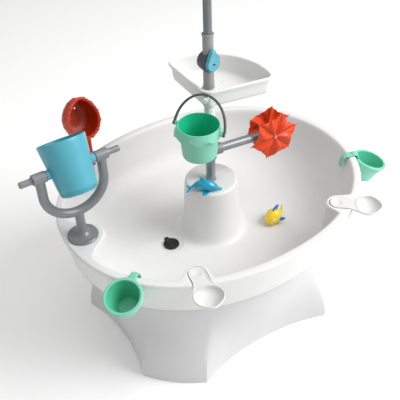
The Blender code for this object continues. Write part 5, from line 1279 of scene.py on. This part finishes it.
def build_plug():
    at = Matrix.Translation((DRAIN_X, 0, 0))
    disc = turned([
        (0, 0.2880), (0.0130, 0.2880, 0.001), (0.0154, 0.2895, 0.001), (0.0154, 0.2988, 0.0004), (0.0240, 0.2988, 0.0008),
        (0.0250, 0.3000, 0.001), (0.0250, 0.3030, 0.0012), (0.0232, 0.3042, 0.001), (0.0190, 0.3042, 0.0008),
        (0.0180, 0.3028, 0.0008), (0.0110, 0.3026, 0.001), (0.0080, 0.3036, 0.001), (0.0060, 0.3022, 0.001),
        (0, 0.3018)], 72)
    tab = turned([(0, 0.2990), (0.0080, 0.2990, 0.0006), (0.0085, 0.3000, 0.0006), (0.0080, 0.3020, 0.0006),
                  (0.0040, 0.3020, 0.0004), (0.0034, 0.3012, 0.0004), (0, 0.3012)], 40)
    neck = slab([(-0.003, 0.018), (0.003, 0.018), (0.003, 0.026), (-0.003, 0.026)], 0.2992, 0.3018, 0.0005)
    plug = make("plug_disc", [moved(disc, at)])
    carve(plug, [moved(tab, at @ Matrix.Translation((0, 0.028, 0))), moved(neck, at)], "UNION")
    show(plug, "drain_plug", "drain_plug", RUBBER)


def give_material(node, material):
    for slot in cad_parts[node].material_slots:
        slot.material = material


build_basin()
build_stand()
build_mast()
build_spinner()
build_tray()
build_sleeve()
build_clamp()
build_yoke()
build_tipping_bucket()
build_hanging_bucket()
build_bail()
for cup in CUPS:
    build_cup(cup)
build_scoop()
for side_key in LAUNCHERS:
    build_launcher(side_key)
build_dolphin()
build_fish()
build_plug()
for kept in ("basin_screw_1", "basin_screw_2", "basin_screw_3", "basin_screw_4", "yoke_screw"):
    give_material(kept, STEEL)


# ------------------------------------------------------------------ floor, light and camera

floor_mesh = bpy.data.meshes.new("studio_floor")
floor_mesh.from_pydata([(-30, -30, 0), (30, -30, 0), (30, 30, 0), (-30, 30, 0)], [], [(0, 1, 2, 3)])
floor = bpy.data.objects.new("studio_floor", floor_mesh)
bpy.context.scene.collection.objects.link(floor)
floor_mat = bpy.data.materials.new("studio_floor")
floor_mat.use_nodes = True
floor_tree = floor_mat.node_tree
floor_bsdf = floor_tree.nodes["Principled BSDF"]
floor_noise = floor_tree.nodes.new("ShaderNodeTexNoise")
floor_noise.inputs["Scale"].default_value = 2.0
floor_mix = floor_tree.nodes.new("ShaderNodeMapRange")
floor_mix.inputs["To Min"].default_value = 0.960
floor_mix.inputs["To Max"].default_value = 0.975
floor_tree.links.new(floor_noise.outputs["Fac"], floor_mix.inputs["Value"])
floor_tree.links.new(floor_mix.outputs["Result"], floor_bsdf.inputs["Base Color"])
floor_bsdf.inputs["Roughness"].default_value = 0.9
floor_bsdf.inputs["Specular IOR Level"].default_value = 0.1
floor_bsdf.inputs["Emission Color"].default_value = (1.0, 1.0, 1.0, 1.0)
floor_bsdf.inputs["Emission Strength"].default_value = 0.10
floor_mesh.materials.append(floor_mat)

scene = bpy.context.scene
scene.view_settings.view_transform = "Standard"
world = bpy.data.worlds.new("studio")
world.use_nodes = True
world.node_tree.nodes["Background"].inputs["Color"].default_value = (1.0, 0.995, 0.985, 1.0)
world.node_tree.nodes["Background"].inputs["Strength"].default_value = 0.45
scene.world = world


def softbox(name, towards, distance, size, watts, colour=(1, 1, 1)):
    """A square light above the table, aimed at its middle."""
    aim = MAST + Vector((0, 0, 0.45))
    way = Vector(towards).normalized()
    data = bpy.data.lights.new(name, "AREA")
    data.size = size
    data.energy = watts
    data.color = colour
    light = bpy.data.objects.new(name, data)
    light.matrix_world = frame_at(aim + way * distance, z_way=way)
    scene.collection.objects.link(light)


softbox("key", (0.74, -0.70, 0.85), 4.0, 2.6, 165.0)
softbox("top", (-0.05, 0.10, 1.0), 4.0, 3.4, 42.0)

right = Vector((0.836, -0.547, -0.028)).normalized()
up = Vector((0.372, 0.529, 0.762))
up = (up - right * up.dot(right)).normalized()
camera_data = bpy.data.cameras.new("camera")
camera_data.lens = 63.49
camera_data.sensor_width = 36.0
camera = bpy.data.objects.new("camera", camera_data)
camera.matrix_world = frame_at(MAST + Vector((-0.925, -1.421, 1.845)), x_way=right, z_way=right.cross(up))
scene.collection.objects.link(camera)
scene.camera = camera
